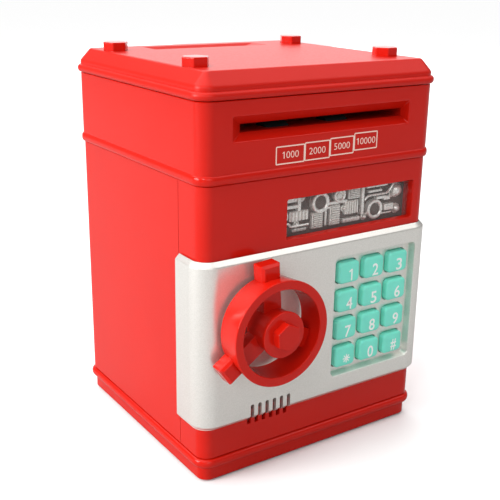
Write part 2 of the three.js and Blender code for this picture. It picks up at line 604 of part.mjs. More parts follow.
// A rounded block in the XZ plane, from y0 to y1.
function keyBlock(x, z, width, height, corner, y0, y1, curveSegments = 2) {
  const shape = roundedRectangle(-width / 2, width / 2, -height / 2, height / 2, corner);
  const geometry = new THREE.ExtrudeGeometry(shape, { depth: y1 - y0, bevelEnabled: false, curveSegments });
  geometry.rotateX(Math.PI / 2);
  geometry.translate(x, y1, z);
  return solid(geometry);
}

function doorSkin() {
  const outline = roundedRectangle(-DOOR.side, DOOR.side, DOOR.face, -DOOR.face, DOOR.corner);
  const shell = extrude(outline, DOOR.bottom, DOOR.top, { inset: DOOR.chamfer, rise: DOOR.chamfer });
  const inside = extrude(roundedRectangle(-LOWER.halfWidth - DOOR_GAP.left, LOWER.halfWidth + DOOR_GAP.right,
    FRONT - DOOR_GAP.front, 80, 6.5), 0, 150);
  const skin = cut(shell, inside,
    box(-80, 0, DOOR.wrapEnd, 80, 0, 150), box(0, 80, HINGE.y - 0.5, 80, 0, 150));
  const { left, right, bottom, top, wall, lean } = KEYPAD;
  const tub = box(left - wall, right + wall, DOOR.face + 1, TUB_BACK, bottom - wall, top + wall);
  const recess = taperedBox('y', DOOR.face - 0.01, RECESS_FLOOR,
    [left, right, bottom, top], [left + lean, right - lean, bottom + lean, top - lean]);
  const holeWidth = KEY.width + 2 * KEY.gap;
  const holeHeight = KEY.height + 2 * KEY.gap;
  const keyHoles = KEY_ROWS.flatMap((names, row) => names.map((_, column) => {
    const [x, z] = keyCentre(row, column);
    return keyBlock(x, z, holeWidth, holeHeight, KEY.corner, DOOR.face, TUB_BACK + 1);
  }));
  const slots = [];
  for (let i = 0; i < VENT.count; i += 1) {
    const x = VENT.first + i * VENT.pitch;
    const radius = VENT.width / 2;
    slots.push(box(x, x + VENT.width, DOOR.face - 5, -50, DOOR.bottom - 5, VENT.top - radius));
    slots.push(rod('y', radius, DOOR.face - 5, -50, x + radius, VENT.top - radius, 8));
  }
  const cleared = cut(skin, knuckles(0, HINGE.radius + 0.5, -0.2));
  return cut(join(cleared, tub, knuckles(1, HINGE.radius, 0.2)), recess, keyHoles, slots, hingeBore(),
    rod('y', SPINDLE_RADIUS + SPINDLE_GAP, -80, -50, WHEEL.x, WHEEL.z, 20));
}

const COVER = {
  left: -48.2, right: 58.9, bottom: 35.6, top: 99.2, front: FRONT - 0.3, back: -50.2, wall: 1.4,
};
const MAT = { left: 6, right: 54, bottom: 38.5, top: 95.5, front: -54.3, back: -53.6 };
const BOARD = { left: 2, right: 57, bottom: 37.5, top: 96.5, front: -53.3, back: -51.9 };

function doorInnerCover() {
  const { left, right, bottom, top, front, back, wall } = COVER;
  const tub = cut(box(left, right, front, back, bottom, top),
    box(left + wall, right - wall, front - 1, back - wall, bottom + wall, top - wall));
  const room = KEYPAD.wall + 0.5;
  return cut(tub, rod('y', SPINDLE_RADIUS + SPINDLE_GAP, -80, -40, WHEEL.x, WHEEL.z, 20),
    box(KEYPAD.left - room, KEYPAD.right + room, front - 1, TUB_BACK + 0.4,
      KEYPAD.bottom - room, KEYPAD.top + room));
}

function keyMat() {
  const sheet = box(MAT.left, MAT.right, MAT.front, MAT.back, MAT.bottom, MAT.top);
  const domes = KEY_ROWS.flatMap((names, row) => names.map((_, column) => {
    const [x, z] = keyCentre(row, column);
    return rod('y', 2.6, MAT.front - 0.6, MAT.front + 0.1, x, z, 6, 3.4);
  }));
  return join(sheet, domes);
}

addPart('door_skin', doorSkin(), silverLacquer());
addPart('door_inner_cover', doorInnerCover(), redAbs());
addPart('key_mat', keyMat(), finish('#d9dcd8', 0.7));
addPart('keypad_board', box(BOARD.left, BOARD.right, BOARD.front, BOARD.back, BOARD.bottom, BOARD.top),
  finish('#2f7a46', 0.5));
addPart('hinge_pin', rod('z', HINGE.pin, HINGE.bottom - 0.6, hingeTop + 0.6, HINGE.x, HINGE.y, 8), steel());

KEY_ROWS.forEach((names, row) => names.forEach((name, column) => {
  const [x, z] = keyCentre(row, column);
  const { width, height, corner, face, flange: wider } = KEY;
  const cap = keyBlock(x, z, width, height, corner, face, TUB_BACK + 0.6);
  const flange = keyBlock(x, z, width + wider, height + wider, corner, TUB_BACK + 0.3, TUB_BACK + 1.1, 1);
  addPart(name, join(cap, flange), mintRubber());
}));

// ---------- handwheel, latch and lock ----------
const turned = (body, degrees) => {
  const angle = (degrees * Math.PI) / 180;
  const c = Math.cos(angle);
  const s = Math.sin(angle);
  const { x, z } = WHEEL;
  return body.warp((p) => {
    const dx = p[0] - x;
    const dz = p[2] - z;
    p[0] = x + dx * c - dz * s;
    p[2] = z + dx * s + dz * c;
  });
};

function handwheel() {
  const { x, z, front, back, outerFront, outerBack, bore } = WHEEL;
  const ring = cut(rod('y', outerFront, front, back, x, z, 48, outerBack),
    rod('y', bore, front - 1, back + 1, x, z, 40));
  const root = z + bore + 1;
  const arms = [0, 120, 240].map((angle) => turned(join(
    box(x - SPOKE.halfWidth, x + SPOKE.halfWidth, SPOKE.front, LUG.back, z + SPOKE.start, root),
    box(x - LUG.width / 2, x + LUG.width / 2, LUG.front, LUG.back, root, z + LUG.reach)),
  angle + WHEEL.tilt));
  const hub = join(rod('y', HUB.radius, HUB.front, HUB.back, x, z, 28),
    rod('y', HUB.boss, HUB.back - 0.5, DOOR.face - 0.4, x, z, 20));
  return cut(join(ring, arms, hub), rod('y', SPINDLE_RADIUS + FIT, -90, -50, x, z, 20));
}

function hubCap() {
  const { x, z, tilt } = WHEEL;
  const disc = rod('y', HUB.discRadius, HUB.discFront, HUB.front - FIT, x, z, 32);
  const hex = turned(rod('y', HUB.hexRadius, HUB.hexFront, HUB.discFront + 0.2, x, z, 6), tilt + 30);
  return join(disc, hex);
}

function latchCam() {
  const { x, z } = WHEEL;
  const arm = box(x - CAM.width / 2, x + CAM.width / 2, CAM.front, CAM.back, z, z + CAM.reach);
  return cut(join(rod('y', CAM.hub, CAM.front, CAM.back, x, z, 24), arm),
    rod('y', SPINDLE_RADIUS + FIT, -60, -40, x, z, 20));
}

function lockDisc() {
  const { x, z } = WHEEL;
  const { radius, front, back, notch, halfNotch } = LOCK_DISC;
  return cut(rod('y', radius, front, back, x, z, 32),
    box(x - halfNotch, x + halfNotch, front - 1, back + 1, z - radius - 1, z - radius + notch),
    box(x - radius - 1, x - radius + notch, front - 1, back + 1, z - halfNotch, z + halfNotch),
    rod('y', SPINDLE_RADIUS + FIT, -60, -40, x, z, 20));
}

const SOLENOID = {
  y: (LOCK_DISC.front + LOCK_DISC.back) / 2, bottom: 42, top: 58, halfWidth: 6, halfDepth: 3.6, bore: 1.9,
};
const PLUNGER = { radius: 1.5, bottom: SOLENOID.bottom + 6, top: WHEEL.z - LOCK_DISC.radius - 0.5 };

function lockSolenoid() {
  const { y, bottom, top, halfWidth, halfDepth, bore } = SOLENOID;
  return cut(box(WHEEL.x - halfWidth, WHEEL.x + halfWidth, y - halfDepth, y + halfDepth, bottom, top),
    rod('z', bore, PLUNGER.bottom - 1, top + 1, WHEEL.x, y, 14));
}

addPart('handwheel', handwheel(), redAbs());
addPart('wheel_hub_cap', hubCap(), redAbs());
addPart('wheel_spindle', rod('y', SPINDLE_RADIUS, HUB.front + 0.2, CAM.back + 0.7, WHEEL.x, WHEEL.z, 20),
  steel());
addPart('latch_cam', latchCam(), steel());
addPart('lock_disc', lockDisc(), whitePlastic());
addPart('lock_solenoid', lockSolenoid(), steel());
addPart('solenoid_plunger', rod('z', PLUNGER.radius, PLUNGER.bottom, PLUNGER.top, WHEEL.x, SOLENOID.y, 14),
  steel());

// The object's origin lies on the floor, midway between the hexagon of the handwheel's
// cap and the back of the lid's bead.
const backReach = UPPER.halfDepth + LID_BEAD.out;
assembly.position.y = (-HUB.hexFront - backReach) / 2;

const group = new THREE.Group();
group.add(assembly);
group.updateMatrixWorld(true);

export default group;
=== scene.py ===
"""A toy safe coin bank: a red ABS cabinet with a silver door, a handwheel latch and a keypad."""
import math

import bpy
import numpy as np
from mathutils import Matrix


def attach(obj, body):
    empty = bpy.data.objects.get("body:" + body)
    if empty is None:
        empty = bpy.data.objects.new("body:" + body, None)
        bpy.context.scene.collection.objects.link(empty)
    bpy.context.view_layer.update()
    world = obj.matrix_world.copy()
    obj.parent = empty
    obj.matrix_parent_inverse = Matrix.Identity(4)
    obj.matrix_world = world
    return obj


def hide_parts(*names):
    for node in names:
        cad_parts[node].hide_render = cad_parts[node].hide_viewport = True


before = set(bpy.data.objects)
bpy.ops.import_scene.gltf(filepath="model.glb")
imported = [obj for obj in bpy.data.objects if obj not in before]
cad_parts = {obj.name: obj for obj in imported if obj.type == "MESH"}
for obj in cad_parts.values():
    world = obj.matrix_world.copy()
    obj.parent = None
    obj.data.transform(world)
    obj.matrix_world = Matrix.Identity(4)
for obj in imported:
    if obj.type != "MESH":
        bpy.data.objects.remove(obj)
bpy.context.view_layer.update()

# ---------- base pan ----------
# The tray that the bank stands on, moulded in red ABS in one shot: a skirt, a half-round bead
# that covers its joint with the cabinet, and a floor with an opening for the batteries.
WALL = 2.2
LOWER_HALF_WIDTH, LOWER_HALF_DEPTH, LOWER_CORNER = 63.2, 59.5, 6.0
CABINET_SHIFT = 10.75
BASE_BEAD_BOTTOM, BASE_BEAD_TOP, BASE_BEAD_OUT = 7.5, 11.8, 1.5
FOOT_X, FOOT_Y = 52, 46


def outlines(sections, steps=10):
    """Counter-clockwise rounded rectangles, one for each row of half width, half depth, corner
    radius, centre and height: four quarter circles joined by straight sides."""
    rows = np.asarray(sections, float).T[:, :, None, None]
    half_x, half_y, corner, centre_x, centre_y, height = rows
    quarter = np.arange(4)[:, None]
    angle = (quarter + np.linspace(0, 1, steps + 1)) * np.pi / 2
    middle = (quarter + 0.5) * np.pi / 2
    x = centre_x + np.sign(np.cos(middle)) * (half_x - corner) + corner * np.cos(angle)
    y = centre_y + np.sign(np.sin(middle)) * (half_y - corner) + corner * np.sin(angle)
    return np.stack([x, y, height + 0 * x], -1).reshape(len(half_x), -1, 3)


def soften(corners, radius, steps=4, closed=True):
    """Each corner of a polyline becomes a parabola that leaves its two sides `radius` from it:
    (1-t)^2 start + 2t(1-t) corner + t^2 end."""
    corners = np.asarray(corners, float)
    radius = np.broadcast_to(np.asarray(radius, float).reshape(-1, 1), (len(corners), 1))
    back = np.roll(corners, 1, 0) - corners
    ahead = np.roll(corners, -1, 0) - corners
    back *= np.minimum(radius / np.linalg.norm(back, axis=1, keepdims=True), 0.45)
    ahead *= np.minimum(radius / np.linalg.norm(ahead, axis=1, keepdims=True), 0.45)
    t = np.linspace(0, 1, steps + 1)[None, :, None]
    curve = ((1 - t) ** 2 * (corners + back)[:, None] + 2 * t * (1 - t) * corners[:, None]
             + t ** 2 * (corners + ahead)[:, None])
    if closed:
        return curve.reshape(-1, corners.shape[1])
    return np.vstack([corners[:1], curve[1:-1].reshape(-1, corners.shape[1]), corners[-1:]])


def half_round(bottom, top, out, steps=10):
    """Profile of a bead: a half ellipse that stands `out` proud between two heights."""
    angle = np.linspace(-np.pi / 2, np.pi / 2, steps + 1)
    return np.stack([out * np.cos(angle), (bottom + top) / 2 + (top - bottom) / 2 * np.sin(angle)], -1)


def swept(half_x, half_y, corner, profile, centre=(0, 0), steps=10):
    """Rounded rectangles that grow by the first column of a profile at the heights of its second."""
    out, height = np.asarray(profile, float).T
    rest = np.ones_like(out)
    return outlines(np.stack([half_x + out, half_y + out, np.maximum(corner + out, 0.05),
                              centre[0] * rest, centre[1] * rest, height], -1), steps)


def loft(curves, ring=False):
    """Quads between neighbouring closed curves. A ring joins the last curve to the first, and
    otherwise one flat face closes each end."""
    rows, points = curves.shape[:2]
    index = np.arange(rows * points).reshape(rows, points)
    if ring:
        index = np.vstack([index, index[:1]])
    low, high = index[:-1], index[1:]
    quads = np.stack([low, np.roll(low, -1, 1), np.roll(high, -1, 1), high], -1)
    faces = quads.reshape(-1, 4).tolist()
    if not ring:
        faces += [index[0][::-1].tolist(), index[-1].tolist()]
    return curves.reshape(-1, 3), faces


def shell(outer, inner, keep):
    """Two matching grids of points. Cells of `keep` get a face on each side, and a strip closes
    every edge where a kept cell meets none."""
    columns, rows = outer.shape[:2]
    count = columns * rows
    index = np.arange(count).reshape(columns, rows)
    front = np.stack([index[:-1, :-1], index[1:, :-1], index[1:, 1:], index[:-1, 1:]], -1)[keep]
    edges = np.stack([front, np.roll(front, -1, 1)], -1).reshape(-1, 2)
    alone = ~np.isin(edges[:, 0] * count + edges[:, 1], edges[:, 1] * count + edges[:, 0])
    start, end = edges[alone].T
    sides = np.stack([end, start, start + count, end + count], -1)
    faces = np.vstack([front, front[:, ::-1] + count, sides]).tolist()
    return np.vstack([outer.reshape(-1, 3), inner.reshape(-1, 3)]), faces


def facing(part, centre=(0, 0), turn=0.0):
    """A part drawn flat, with its height towards the viewer, stood up to face the front: turned
    in its own plane, moved to a centre, then (u, v, w) becomes (u, -w, v)."""
    points, faces = part
    c, s = math.cos(math.radians(turn)), math.sin(math.radians(turn))
    u, v, w = points.T
    return np.stack([centre[0] + c * u - s * v, -w, centre[1] + s * u + c * v], -1), faces


def make_piece(name, parts, material, body, stands_for=(), smooth_below=32):
    """One object from several closed surfaces in millimetres about the cabinet's centre."""
    sizes = np.cumsum([0] + [len(points) for points, _ in parts])
    points = np.vstack([points for points, _ in parts]) + (0, CABINET_SHIFT, 0)
    faces = [[i + start for i in face] for (_, part), start in zip(parts, sizes) for face in part]
    mesh = bpy.data.meshes.new(name)
    mesh.from_pydata((points * 0.001).tolist(), [], faces)
    mesh.validate()
    mesh.shade_smooth()
    mesh.set_sharp_from_angle(angle=math.radians(smooth_below))
    mesh.materials.append(material)
    piece = bpy.data.objects.new(name, mesh)
    bpy.context.scene.collection.objects.link(piece)
    flats = piece.modifiers.new("flat_faces_first", "WEIGHTED_NORMAL")
    flats.keep_sharp = True
    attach(piece, body)
    if stands_for:
        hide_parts(*stands_for)
    return piece


def linear(hex_colour):
    """sRGB hex to linear light: the lower part is straight, the rest a power curve."""
    srgb = np.array([int(hex_colour[i:i + 2], 16) for i in (1, 3, 5)]) / 255
    light = np.where(srgb <= 0.04045, srgb / 12.92, ((srgb + 0.055) / 1.055) ** 2.4)
    return (*light.tolist(), 1.0)


def add_node(material, kind, settings=None, links=None):
    """Adds one node, sets its properties and sockets, and links other nodes' outputs to it."""
    node = material.node_tree.nodes.new(kind)
    for key, value in (settings or {}).items():
        if isinstance(key, str) and hasattr(node, key):
            setattr(node, key, value)
        else:
            node.inputs[key].default_value = value
    for key, (source, output) in (links or {}).items():
        material.node_tree.links.new(source.outputs[output], node.inputs[key])
    return node


def new_material(name):
    """An empty node material with an output."""
    material = bpy.data.materials.new(name)
    material.use_nodes = True
    material.node_tree.nodes.clear()
    return material, add_node(material, "ShaderNodeOutputMaterial")


def moulded_plastic(name, light, dark, roughness, patch_mm, skin_mm, skin_depth_mm, coat=0.0,
                    subsurface=0.0):
    """Injection-moulded plastic: its pigment clouds a little over `patch_mm`, its skin waves over
    `skin_mm`, and its gloss changes with the skin."""
    material, output = new_material(name)
    place = add_node(material, "ShaderNodeTexCoord")
    cloud = add_node(material, "ShaderNodeTexNoise", {"Scale": 1000 / patch_mm, "Detail": 3.0},
                     {"Vector": (place, "Object")})
    tint = add_node(material, "ShaderNodeMix", {"data_type": "RGBA", 6: linear(light), 7: linear(dark)},
                    {0: (cloud, "Fac")})
    skin = add_node(material, "ShaderNodeTexNoise", {"Scale": 1000 / skin_mm, "Detail": 4.0,
                                                     "Roughness": 0.6}, {"Vector": (place, "Object")})
    gloss = add_node(material, "ShaderNodeMapRange", {"To Min": roughness * 0.82,
                                                      "To Max": roughness * 1.2}, {"Value": (skin, "Fac")})
    bump = add_node(material, "ShaderNodeBump", {"Strength": 0.35, "Distance": skin_depth_mm / 1000},
                    {"Height": (skin, "Fac")})
    shader = add_node(material, "ShaderNodeBsdfPrincipled",
                      {"IOR": 1.53, "Specular IOR Level": 0.22, "Coat Weight": coat, "Coat Roughness": 0.08,
                       "Subsurface Weight": subsurface, "Subsurface Scale": 0.002},
                      {"Base Color": (tint, 2), "Roughness": (gloss, "Result"), "Normal": (bump, "Normal")})
    material.node_tree.links.new(shader.outputs[0], output.inputs[0])
    return material


# Glossy ABS: polished steel moulds leave a hard shine with a faint long wave.
red_abs = moulded_plastic("glossy_red_abs_moulded", "#CE1C0E", "#C2160A", 0.17, 60, 9, 0.02)

skirt_bead = half_round(BASE_BEAD_BOTTOM, BASE_BEAD_TOP, BASE_BEAD_OUT)
skirt_profile = np.vstack([[(-2.8, 0.9), (-1.0, 0.8), (-0.8, 1.1), (-0.8, 7.4)], skirt_bead,
                           [(-2.6, 11.8), (-2.6, 15.5), (-4.6, 15.5), (-4.6, 12.0), (-2.8, 11.0)]])
floor_x = np.array([-60.4, -29, -6.5, 6.5, 29, 60.4])
floor_y = np.array([-56.7, -9.5, -1.5, 48.5, 56.7])
floor_grid = np.stack(np.meshgrid(floor_x, floor_y, indexing="ij"), -1)
floor_kept = np.ones((5, 4), bool)
floor_kept[1:4, 2] = False
floor_kept[2, 1] = False
floor_top = np.concatenate([floor_grid, np.full((6, 5, 1), 5.4)], -1)
base_parts = [loft(swept(LOWER_HALF_WIDTH, LOWER_HALF_DEPTH, LOWER_CORNER, skirt_profile), ring=True),
              shell(floor_top, floor_top - (0, 0, 2.4), floor_kept)]
for side_x, side_y in ((-1, -1), (1, -1), (-1, 1), (1, 1)):
    base_parts.append(loft(swept(7, 7, 7, [(0, 1.9), (0, 3.2)], (side_x * FOOT_X, side_y * FOOT_Y))))
make_piece("base_pan_shell", base_parts, red_abs, "cabinet", ["base_pan"])

# ---------- feet, battery cover, cells and speaker ----------
# Die-cut black rubber pads, a red ABS cover held by one zinc-plated screw over three cells, and
# a small speaker behind the slots. They keep the shapes of the frame and get their finishes here.
black_rubber = moulded_plastic("black_rubber_moulded", "#222123", "#2C2B2D", 0.85, 6, 0.8, 0.05)
black_abs = moulded_plastic("black_abs_moulded", "#17161A", "#211F22", 0.5, 30, 1.2, 0.02)
cell_sleeve = moulded_plastic("battery_sleeve_blue_film", "#34598F", "#3F689E", 0.32, 20, 2, 0.01)


def worked_metal(name, light, dark, roughness, grain_mm, stretch=(1, 1, 1), metallic=1.0):
    """Plated or machined metal: fine lines or grains set its colour, gloss and bump. `metallic` is
    below 1 where the metal is a thin plating over plastic."""
    material, output = new_material(name)
    place = add_node(material, "ShaderNodeTexCoord")
    drawn = add_node(material, "ShaderNodeMapping", {"Scale": stretch}, {"Vector": (place, "Object")})
    grain = add_node(material, "ShaderNodeTexNoise", {"Scale": 1000 / grain_mm, "Detail": 3.0},
                     {"Vector": (drawn, "Vector")})
    tint = add_node(material, "ShaderNodeMix", {"data_type": "RGBA", 6: linear(light), 7: linear(dark)},
                    {0: (grain, "Fac")})
    gloss = add_node(material, "ShaderNodeMapRange", {"To Min": roughness * 0.75,
                                                      "To Max": roughness * 1.3}, {"Value": (grain, "Fac")})
    bump = add_node(material, "ShaderNodeBump", {"Strength": 0.25, "Distance": 0.00002},
                    {"Height": (grain, "Fac")})
    shader = add_node(material, "ShaderNodeBsdfPrincipled", {"Metallic": metallic},
                      {"Base Color": (tint, 2), "Roughness": (gloss, "Result"), "Normal": (bump, "Normal")})
    material.node_tree.links.new(shader.outputs[0], output.inputs[0])
    return material


zinc_steel = worked_metal("zinc_plated_steel", "#C4C6C8", "#A9ACAF", 0.3, 1.2)
turned_steel = worked_metal("turned_steel_rod", "#BFC1C3", "#9FA2A5", 0.25, 1.5, (0.1, 1, 1))


def finish_nodes(material, *nodes):
    """Gives carried-over nodes of the frame their material."""
    for node in nodes:
        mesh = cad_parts[node].data
        mesh.materials.clear()
        mesh.materials.append(material)


finish_nodes(red_abs, "battery_cover")
finish_nodes(black_rubber, "foot_front_left", "foot_front_right", "foot_rear_left", "foot_rear_right")
finish_nodes(black_abs, "speaker")
finish_nodes(cell_sleeve, "battery_1", "battery_2", "battery_3")
finish_nodes(zinc_steel, "battery_cover_screw")

# ---------- rear shell and vault floor ----------
# The sides and back of the cabinet, one U of red ABS with the fixed hinge knuckles moulded on at
# the right. A black ABS plate inside is the floor that the money rests on.
SHELL_BOTTOM, SHELL_TOP = 12.1, 137.3
HINGE_X, HINGE_Y, HINGE_RADIUS, HINGE_BORE = 64.2, -39.9, 1.7, 0.9
HINGE_BOTTOM, HINGE_PITCH, HINGE_COUNT = 31.5, 13.9, 5


def u_plan(half_x, front, corner, stations, left_end, right_end, inset, steps=10):
    """Plan of a wall, one for each inset: it comes forward at the left, turns a quarter circle,
    crosses the front through the stations, turns again and goes back at the right."""
    inset = np.atleast_1d(np.asarray(inset, float))[:, None]
    radius = corner - inset
    sweep = np.linspace(0, 1, steps + 1)[None] * np.pi / 2
    rest = np.zeros_like(inset)
    left_x = -(half_x - corner) - radius * np.cos(sweep)
    left_y = -(front - corner) - radius * np.sin(sweep)
    right_x = (half_x - corner) + radius * np.sin(sweep)
    right_y = -(front - corner) - radius * np.cos(sweep)
    x = np.hstack([-(half_x - inset), left_x, rest + stations, right_x, half_x - inset])
    y = np.hstack([rest + left_end, left_y, inset - front + 0 * stations[None], right_y,
                   rest + right_end])
    return np.stack([x, y], -1)


def u_wall(plan, heights):
    """Grid (columns, rows, 3) of a plan per row and the height of each row."""
    height = np.broadcast_to(np.asarray(heights, float)[:, None, None], (*plan.shape[:2], 1))
    return np.concatenate([plan, height], -1).transpose(1, 0, 2)


def kept(grid, holes):
    """Cells whose middle lies in none of the holes, each low x, high x, low z, high z, last y."""
    middle = (grid[:-1, :-1] + grid[1:, 1:]) / 2
    x, y, z = middle[..., 0], middle[..., 1], middle[..., 2]
    gone = [(x > a) & (x < b) & (z > c) & (z < d) & (y < e) for a, b, c, d, e in holes]
    return ~np.any(gone, 0) if gone else np.ones(x.shape, bool)


def knuckle_parts(first, gap=0.2):
    """Every second barrel of the hinge, with rounded ends and a bore for the pin."""
    bore = HINGE_BORE - HINGE_RADIUS
    profile = np.array([(bore, gap), (-0.3, gap), (0, gap + 0.3), (0, HINGE_PITCH - gap - 0.3),
                        (-0.3, HINGE_PITCH - gap), (bore, HINGE_PITCH - gap)])
    return [loft(swept(HINGE_RADIUS, HINGE_RADIUS, HINGE_RADIUS,
                       profile + (0, HINGE_BOTTOM + i * HINGE_PITCH), (HINGE_X, HINGE_Y), 6), ring=True)
            for i in range(first, HINGE_COUNT, 2)]


knuckle_edges = HINGE_BOTTOM + HINGE_PITCH * np.arange(HINGE_COUNT + 1)
rear_rows = np.unique(np.concatenate([[SHELL_BOTTOM, SHELL_BOTTOM + 0.25, SHELL_TOP - 0.25, SHELL_TOP],
                                      knuckle_edges]))
edge_round = np.where((rear_rows == SHELL_BOTTOM) | (rear_rows == SHELL_TOP), 0.25, 0.0)
rear_stations = np.linspace(-55, 55, 12)
rear_outer = u_wall(u_plan(LOWER_HALF_WIDTH, LOWER_HALF_DEPTH, LOWER_CORNER, rear_stations,
                           37.4, 40.2, edge_round), rear_rows)
rear_inner = u_wall(u_plan(LOWER_HALF_WIDTH, LOWER_HALF_DEPTH, LOWER_CORNER, rear_stations,
                           37.4, 40.2, WALL + 0 * rear_rows), rear_rows)
about = np.array([-1, -1, 1])
hinge_strip_outer = np.stack([np.stack([[LOWER_HALF_WIDTH, -40.2, z], [LOWER_HALF_WIDTH, -37.4, z]])
                              for z in rear_rows], 1)
hinge_strip_inner = hinge_strip_outer - (WALL, 0, 0)
strip_kept = np.ones((1, len(rear_rows) - 1), bool)
row_middle = (rear_rows[:-1] + rear_rows[1:]) / 2
knuckle_number = np.floor((row_middle - HINGE_BOTTOM) / HINGE_PITCH)
strip_kept[0] = ~((knuckle_number >= 0) & (knuckle_number < HINGE_COUNT) & (knuckle_number % 2 == 1))
rear_parts = [shell(rear_outer * about, rear_inner * about, kept(rear_outer, [])),
              shell(hinge_strip_outer, hinge_strip_inner, strip_kept)] + knuckle_parts(0)
make_piece("rear_shell_wall", rear_parts, red_abs, "cabinet", ["rear_shell"])
finish_nodes(black_abs, "vault_floor")

# ---------- front frame ----------
# The front of the cabinet, a second red ABS moulding glued to the rear shell: it holds the
# window, the opening behind the door, which takes in the right corner, and the sound slots.
FRAME_SEAM = -40.5
OPENING_LEFT, OPENING_BOTTOM, OPENING_TOP = -51.2, 31.0, 101.5
WINDOW_X, WINDOW_Z = (-19.9, 54.3), (108.5, 126.8)
WINDOW_MARGIN, WINDOW_DEPTH = 1.2, 3.0
VENT_COUNT, VENT_PITCH, VENT_FIRST, VENT_WIDTH = 6, 4.02, -39.15, 1.9
VENT_BOTTOM, VENT_TOP = 23.7, 34.8

vent_left = VENT_FIRST + VENT_PITCH * np.arange(VENT_COUNT)
vent_edges = np.sort(np.concatenate([vent_left, vent_left + VENT_WIDTH]))
window_hole = (WINDOW_X[0] - WINDOW_MARGIN, WINDOW_X[1] + WINDOW_MARGIN,
               WINDOW_Z[0] - WINDOW_MARGIN, WINDOW_Z[1] + WINDOW_MARGIN)
frame_stations = np.unique(np.concatenate([vent_edges, window_hole[:2], [OPENING_LEFT, 0.0]]))
frame_rows = np.unique([SHELL_BOTTOM, SHELL_BOTTOM + 0.25, VENT_BOTTOM, 29.5, OPENING_BOTTOM, OPENING_TOP,
                        *window_hole[2:], SHELL_TOP - 0.25, SHELL_TOP])
frame_round = np.where((frame_rows == SHELL_BOTTOM) | (frame_rows == SHELL_TOP), 0.25, 0.0)
frame_outer = u_wall(u_plan(LOWER_HALF_WIDTH, LOWER_HALF_DEPTH, LOWER_CORNER, frame_stations,
                            FRAME_SEAM, FRAME_SEAM, frame_round), frame_rows)
frame_inner = u_wall(u_plan(LOWER_HALF_WIDTH, LOWER_HALF_DEPTH, LOWER_CORNER, frame_stations,
                            FRAME_SEAM, FRAME_SEAM, WALL + 0 * frame_rows), frame_rows)
frame_holes = [(*window_hole, -50), (OPENING_LEFT, 80, OPENING_BOTTOM, OPENING_TOP, 0)]
frame_holes += [(x, x + VENT_WIDTH, VENT_BOTTOM, 29.5, -50) for x in vent_left]


def collar(x_range, z_range, face, edge, depth, taper=0.0, corner=1.0, lip=0.5):
    """The lined rim of a recess: a flat margin, a rounded lip, walls that lean in by `taper` and a
    square back, each a rounded rectangle, all joined in a ring."""
    half_x, half_z = (x_range[1] - x_range[0]) / 2, (z_range[1] - z_range[0]) / 2
    centre = ((x_range[0] + x_range[1]) / 2, (z_range[0] + z_range[1]) / 2)
    inside = soften([(edge, face), (0, face), (-taper, face - depth), (edge, face - depth)],
                    [0, lip, 0.05, 0], closed=False)
    mouth = swept(half_x, half_z, corner, inside[1:-1])
    margin = swept(half_x, half_z, 0.02 - edge, inside[[0, -1]])
    return facing(loft(np.concatenate([margin[:1], mouth, margin[1:]]), ring=True), centre)


window_rim = collar(WINDOW_X, WINDOW_Z, LOWER_HALF_DEPTH, WINDOW_MARGIN, WINDOW_DEPTH, 0.4, 0.9, 0.45)
lens_pocket = swept(38.8, 10.85, 1.0, [(0.8, 50.2), (0.8, 56.5), (-1.2, 56.5), (-1.2, 56.4), (0, 56.4),
                                      (0, 50.2)])
frame_parts = [shell(frame_outer, frame_inner, kept(frame_outer, frame_holes)), window_rim,
               facing(loft(lens_pocket, ring=True), (17.2, 117.65)),
               loft(swept(5.1, 4.3, 2.2, [(-0.3, 64), (0, 64.3), (0, 83.7), (-0.3, 84)], (-56.2, -54.6)))]
make_piece("front_frame_wall", frame_parts, red_abs, "cabinet", ["front_frame"])

# ---------- window ----------
# A clear acrylic pane clipped in from behind, over a relief of gauges, finned stacks and brackets
# moulded in ABS and vacuum-plated bright silver, on a dark brown backing whose colour is painted shade.
RELIEF_BACK = 51.7

clear_acrylic, acrylic_output = new_material("clear_acrylic_sheet")
acrylic_place = add_node(clear_acrylic, "ShaderNodeTexCoord")
acrylic_wave = add_node(clear_acrylic, "ShaderNodeTexNoise", {"Scale": 1000 / 25, "Detail": 2.0},
                        {"Vector": (acrylic_place, "Object")})
acrylic_gloss = add_node(clear_acrylic, "ShaderNodeMapRange", {"To Min": 0.02, "To Max": 0.07},
                         {"Value": (acrylic_wave, "Fac")})
acrylic_shader = add_node(clear_acrylic, "ShaderNodeBsdfPrincipled",
                          {"Base Color": linear("#D9DEDE"), "IOR": 1.49, "Alpha": 0.05},
                          {"Roughness": (acrylic_gloss, "Result")})
clear_acrylic.node_tree.links.new(acrylic_shader.outputs[0], acrylic_output.inputs[0])
finish_nodes(clear_acrylic, "window_lens")

plated_relief = worked_metal("vacuum_plated_silver", "#FBFAF6", "#E2DED8", 0.27, 2.5, metallic=0.5)
# The backing's dark brown is painted shade in the gaps between the plated parts, warmed by a painted red
# reflection of the cabinet.
painted_shade_backing = moulded_plastic("brown_backing_painted_shade", "#54453F", "#665650", 0.35, 8, 2, 0.02)


def turned_part(profile, centre, sides=64, turn=0.0):
    """A turned part that faces the front: circles of the radius and height of each profile point,
    closed by a flat face at each end."""
    radius, height = np.asarray(profile, float).T
    angle = np.arange(sides) * 2 * np.pi / sides
    x = radius[:, None] * np.cos(angle)
    y = radius[:, None] * np.sin(angle)
    return facing(loft(np.stack([x, y, height[:, None] + 0 * x], -1)), centre, turn)


def block(x0, x1, z0, z1, back, front, edge=0.25, corner=0.3, turn=0.0):
    """A low block that faces the front, with rounded corners and a softened front edge."""
    profile = [(0, back), (0, front - edge), (-edge * 0.3, front - edge * 0.3), (-edge, front)]
    return facing(loft(swept((x1 - x0) / 2, (z1 - z0) / 2, corner, profile, steps=3)),
                  ((x0 + x1) / 2, (z0 + z1) / 2), turn)


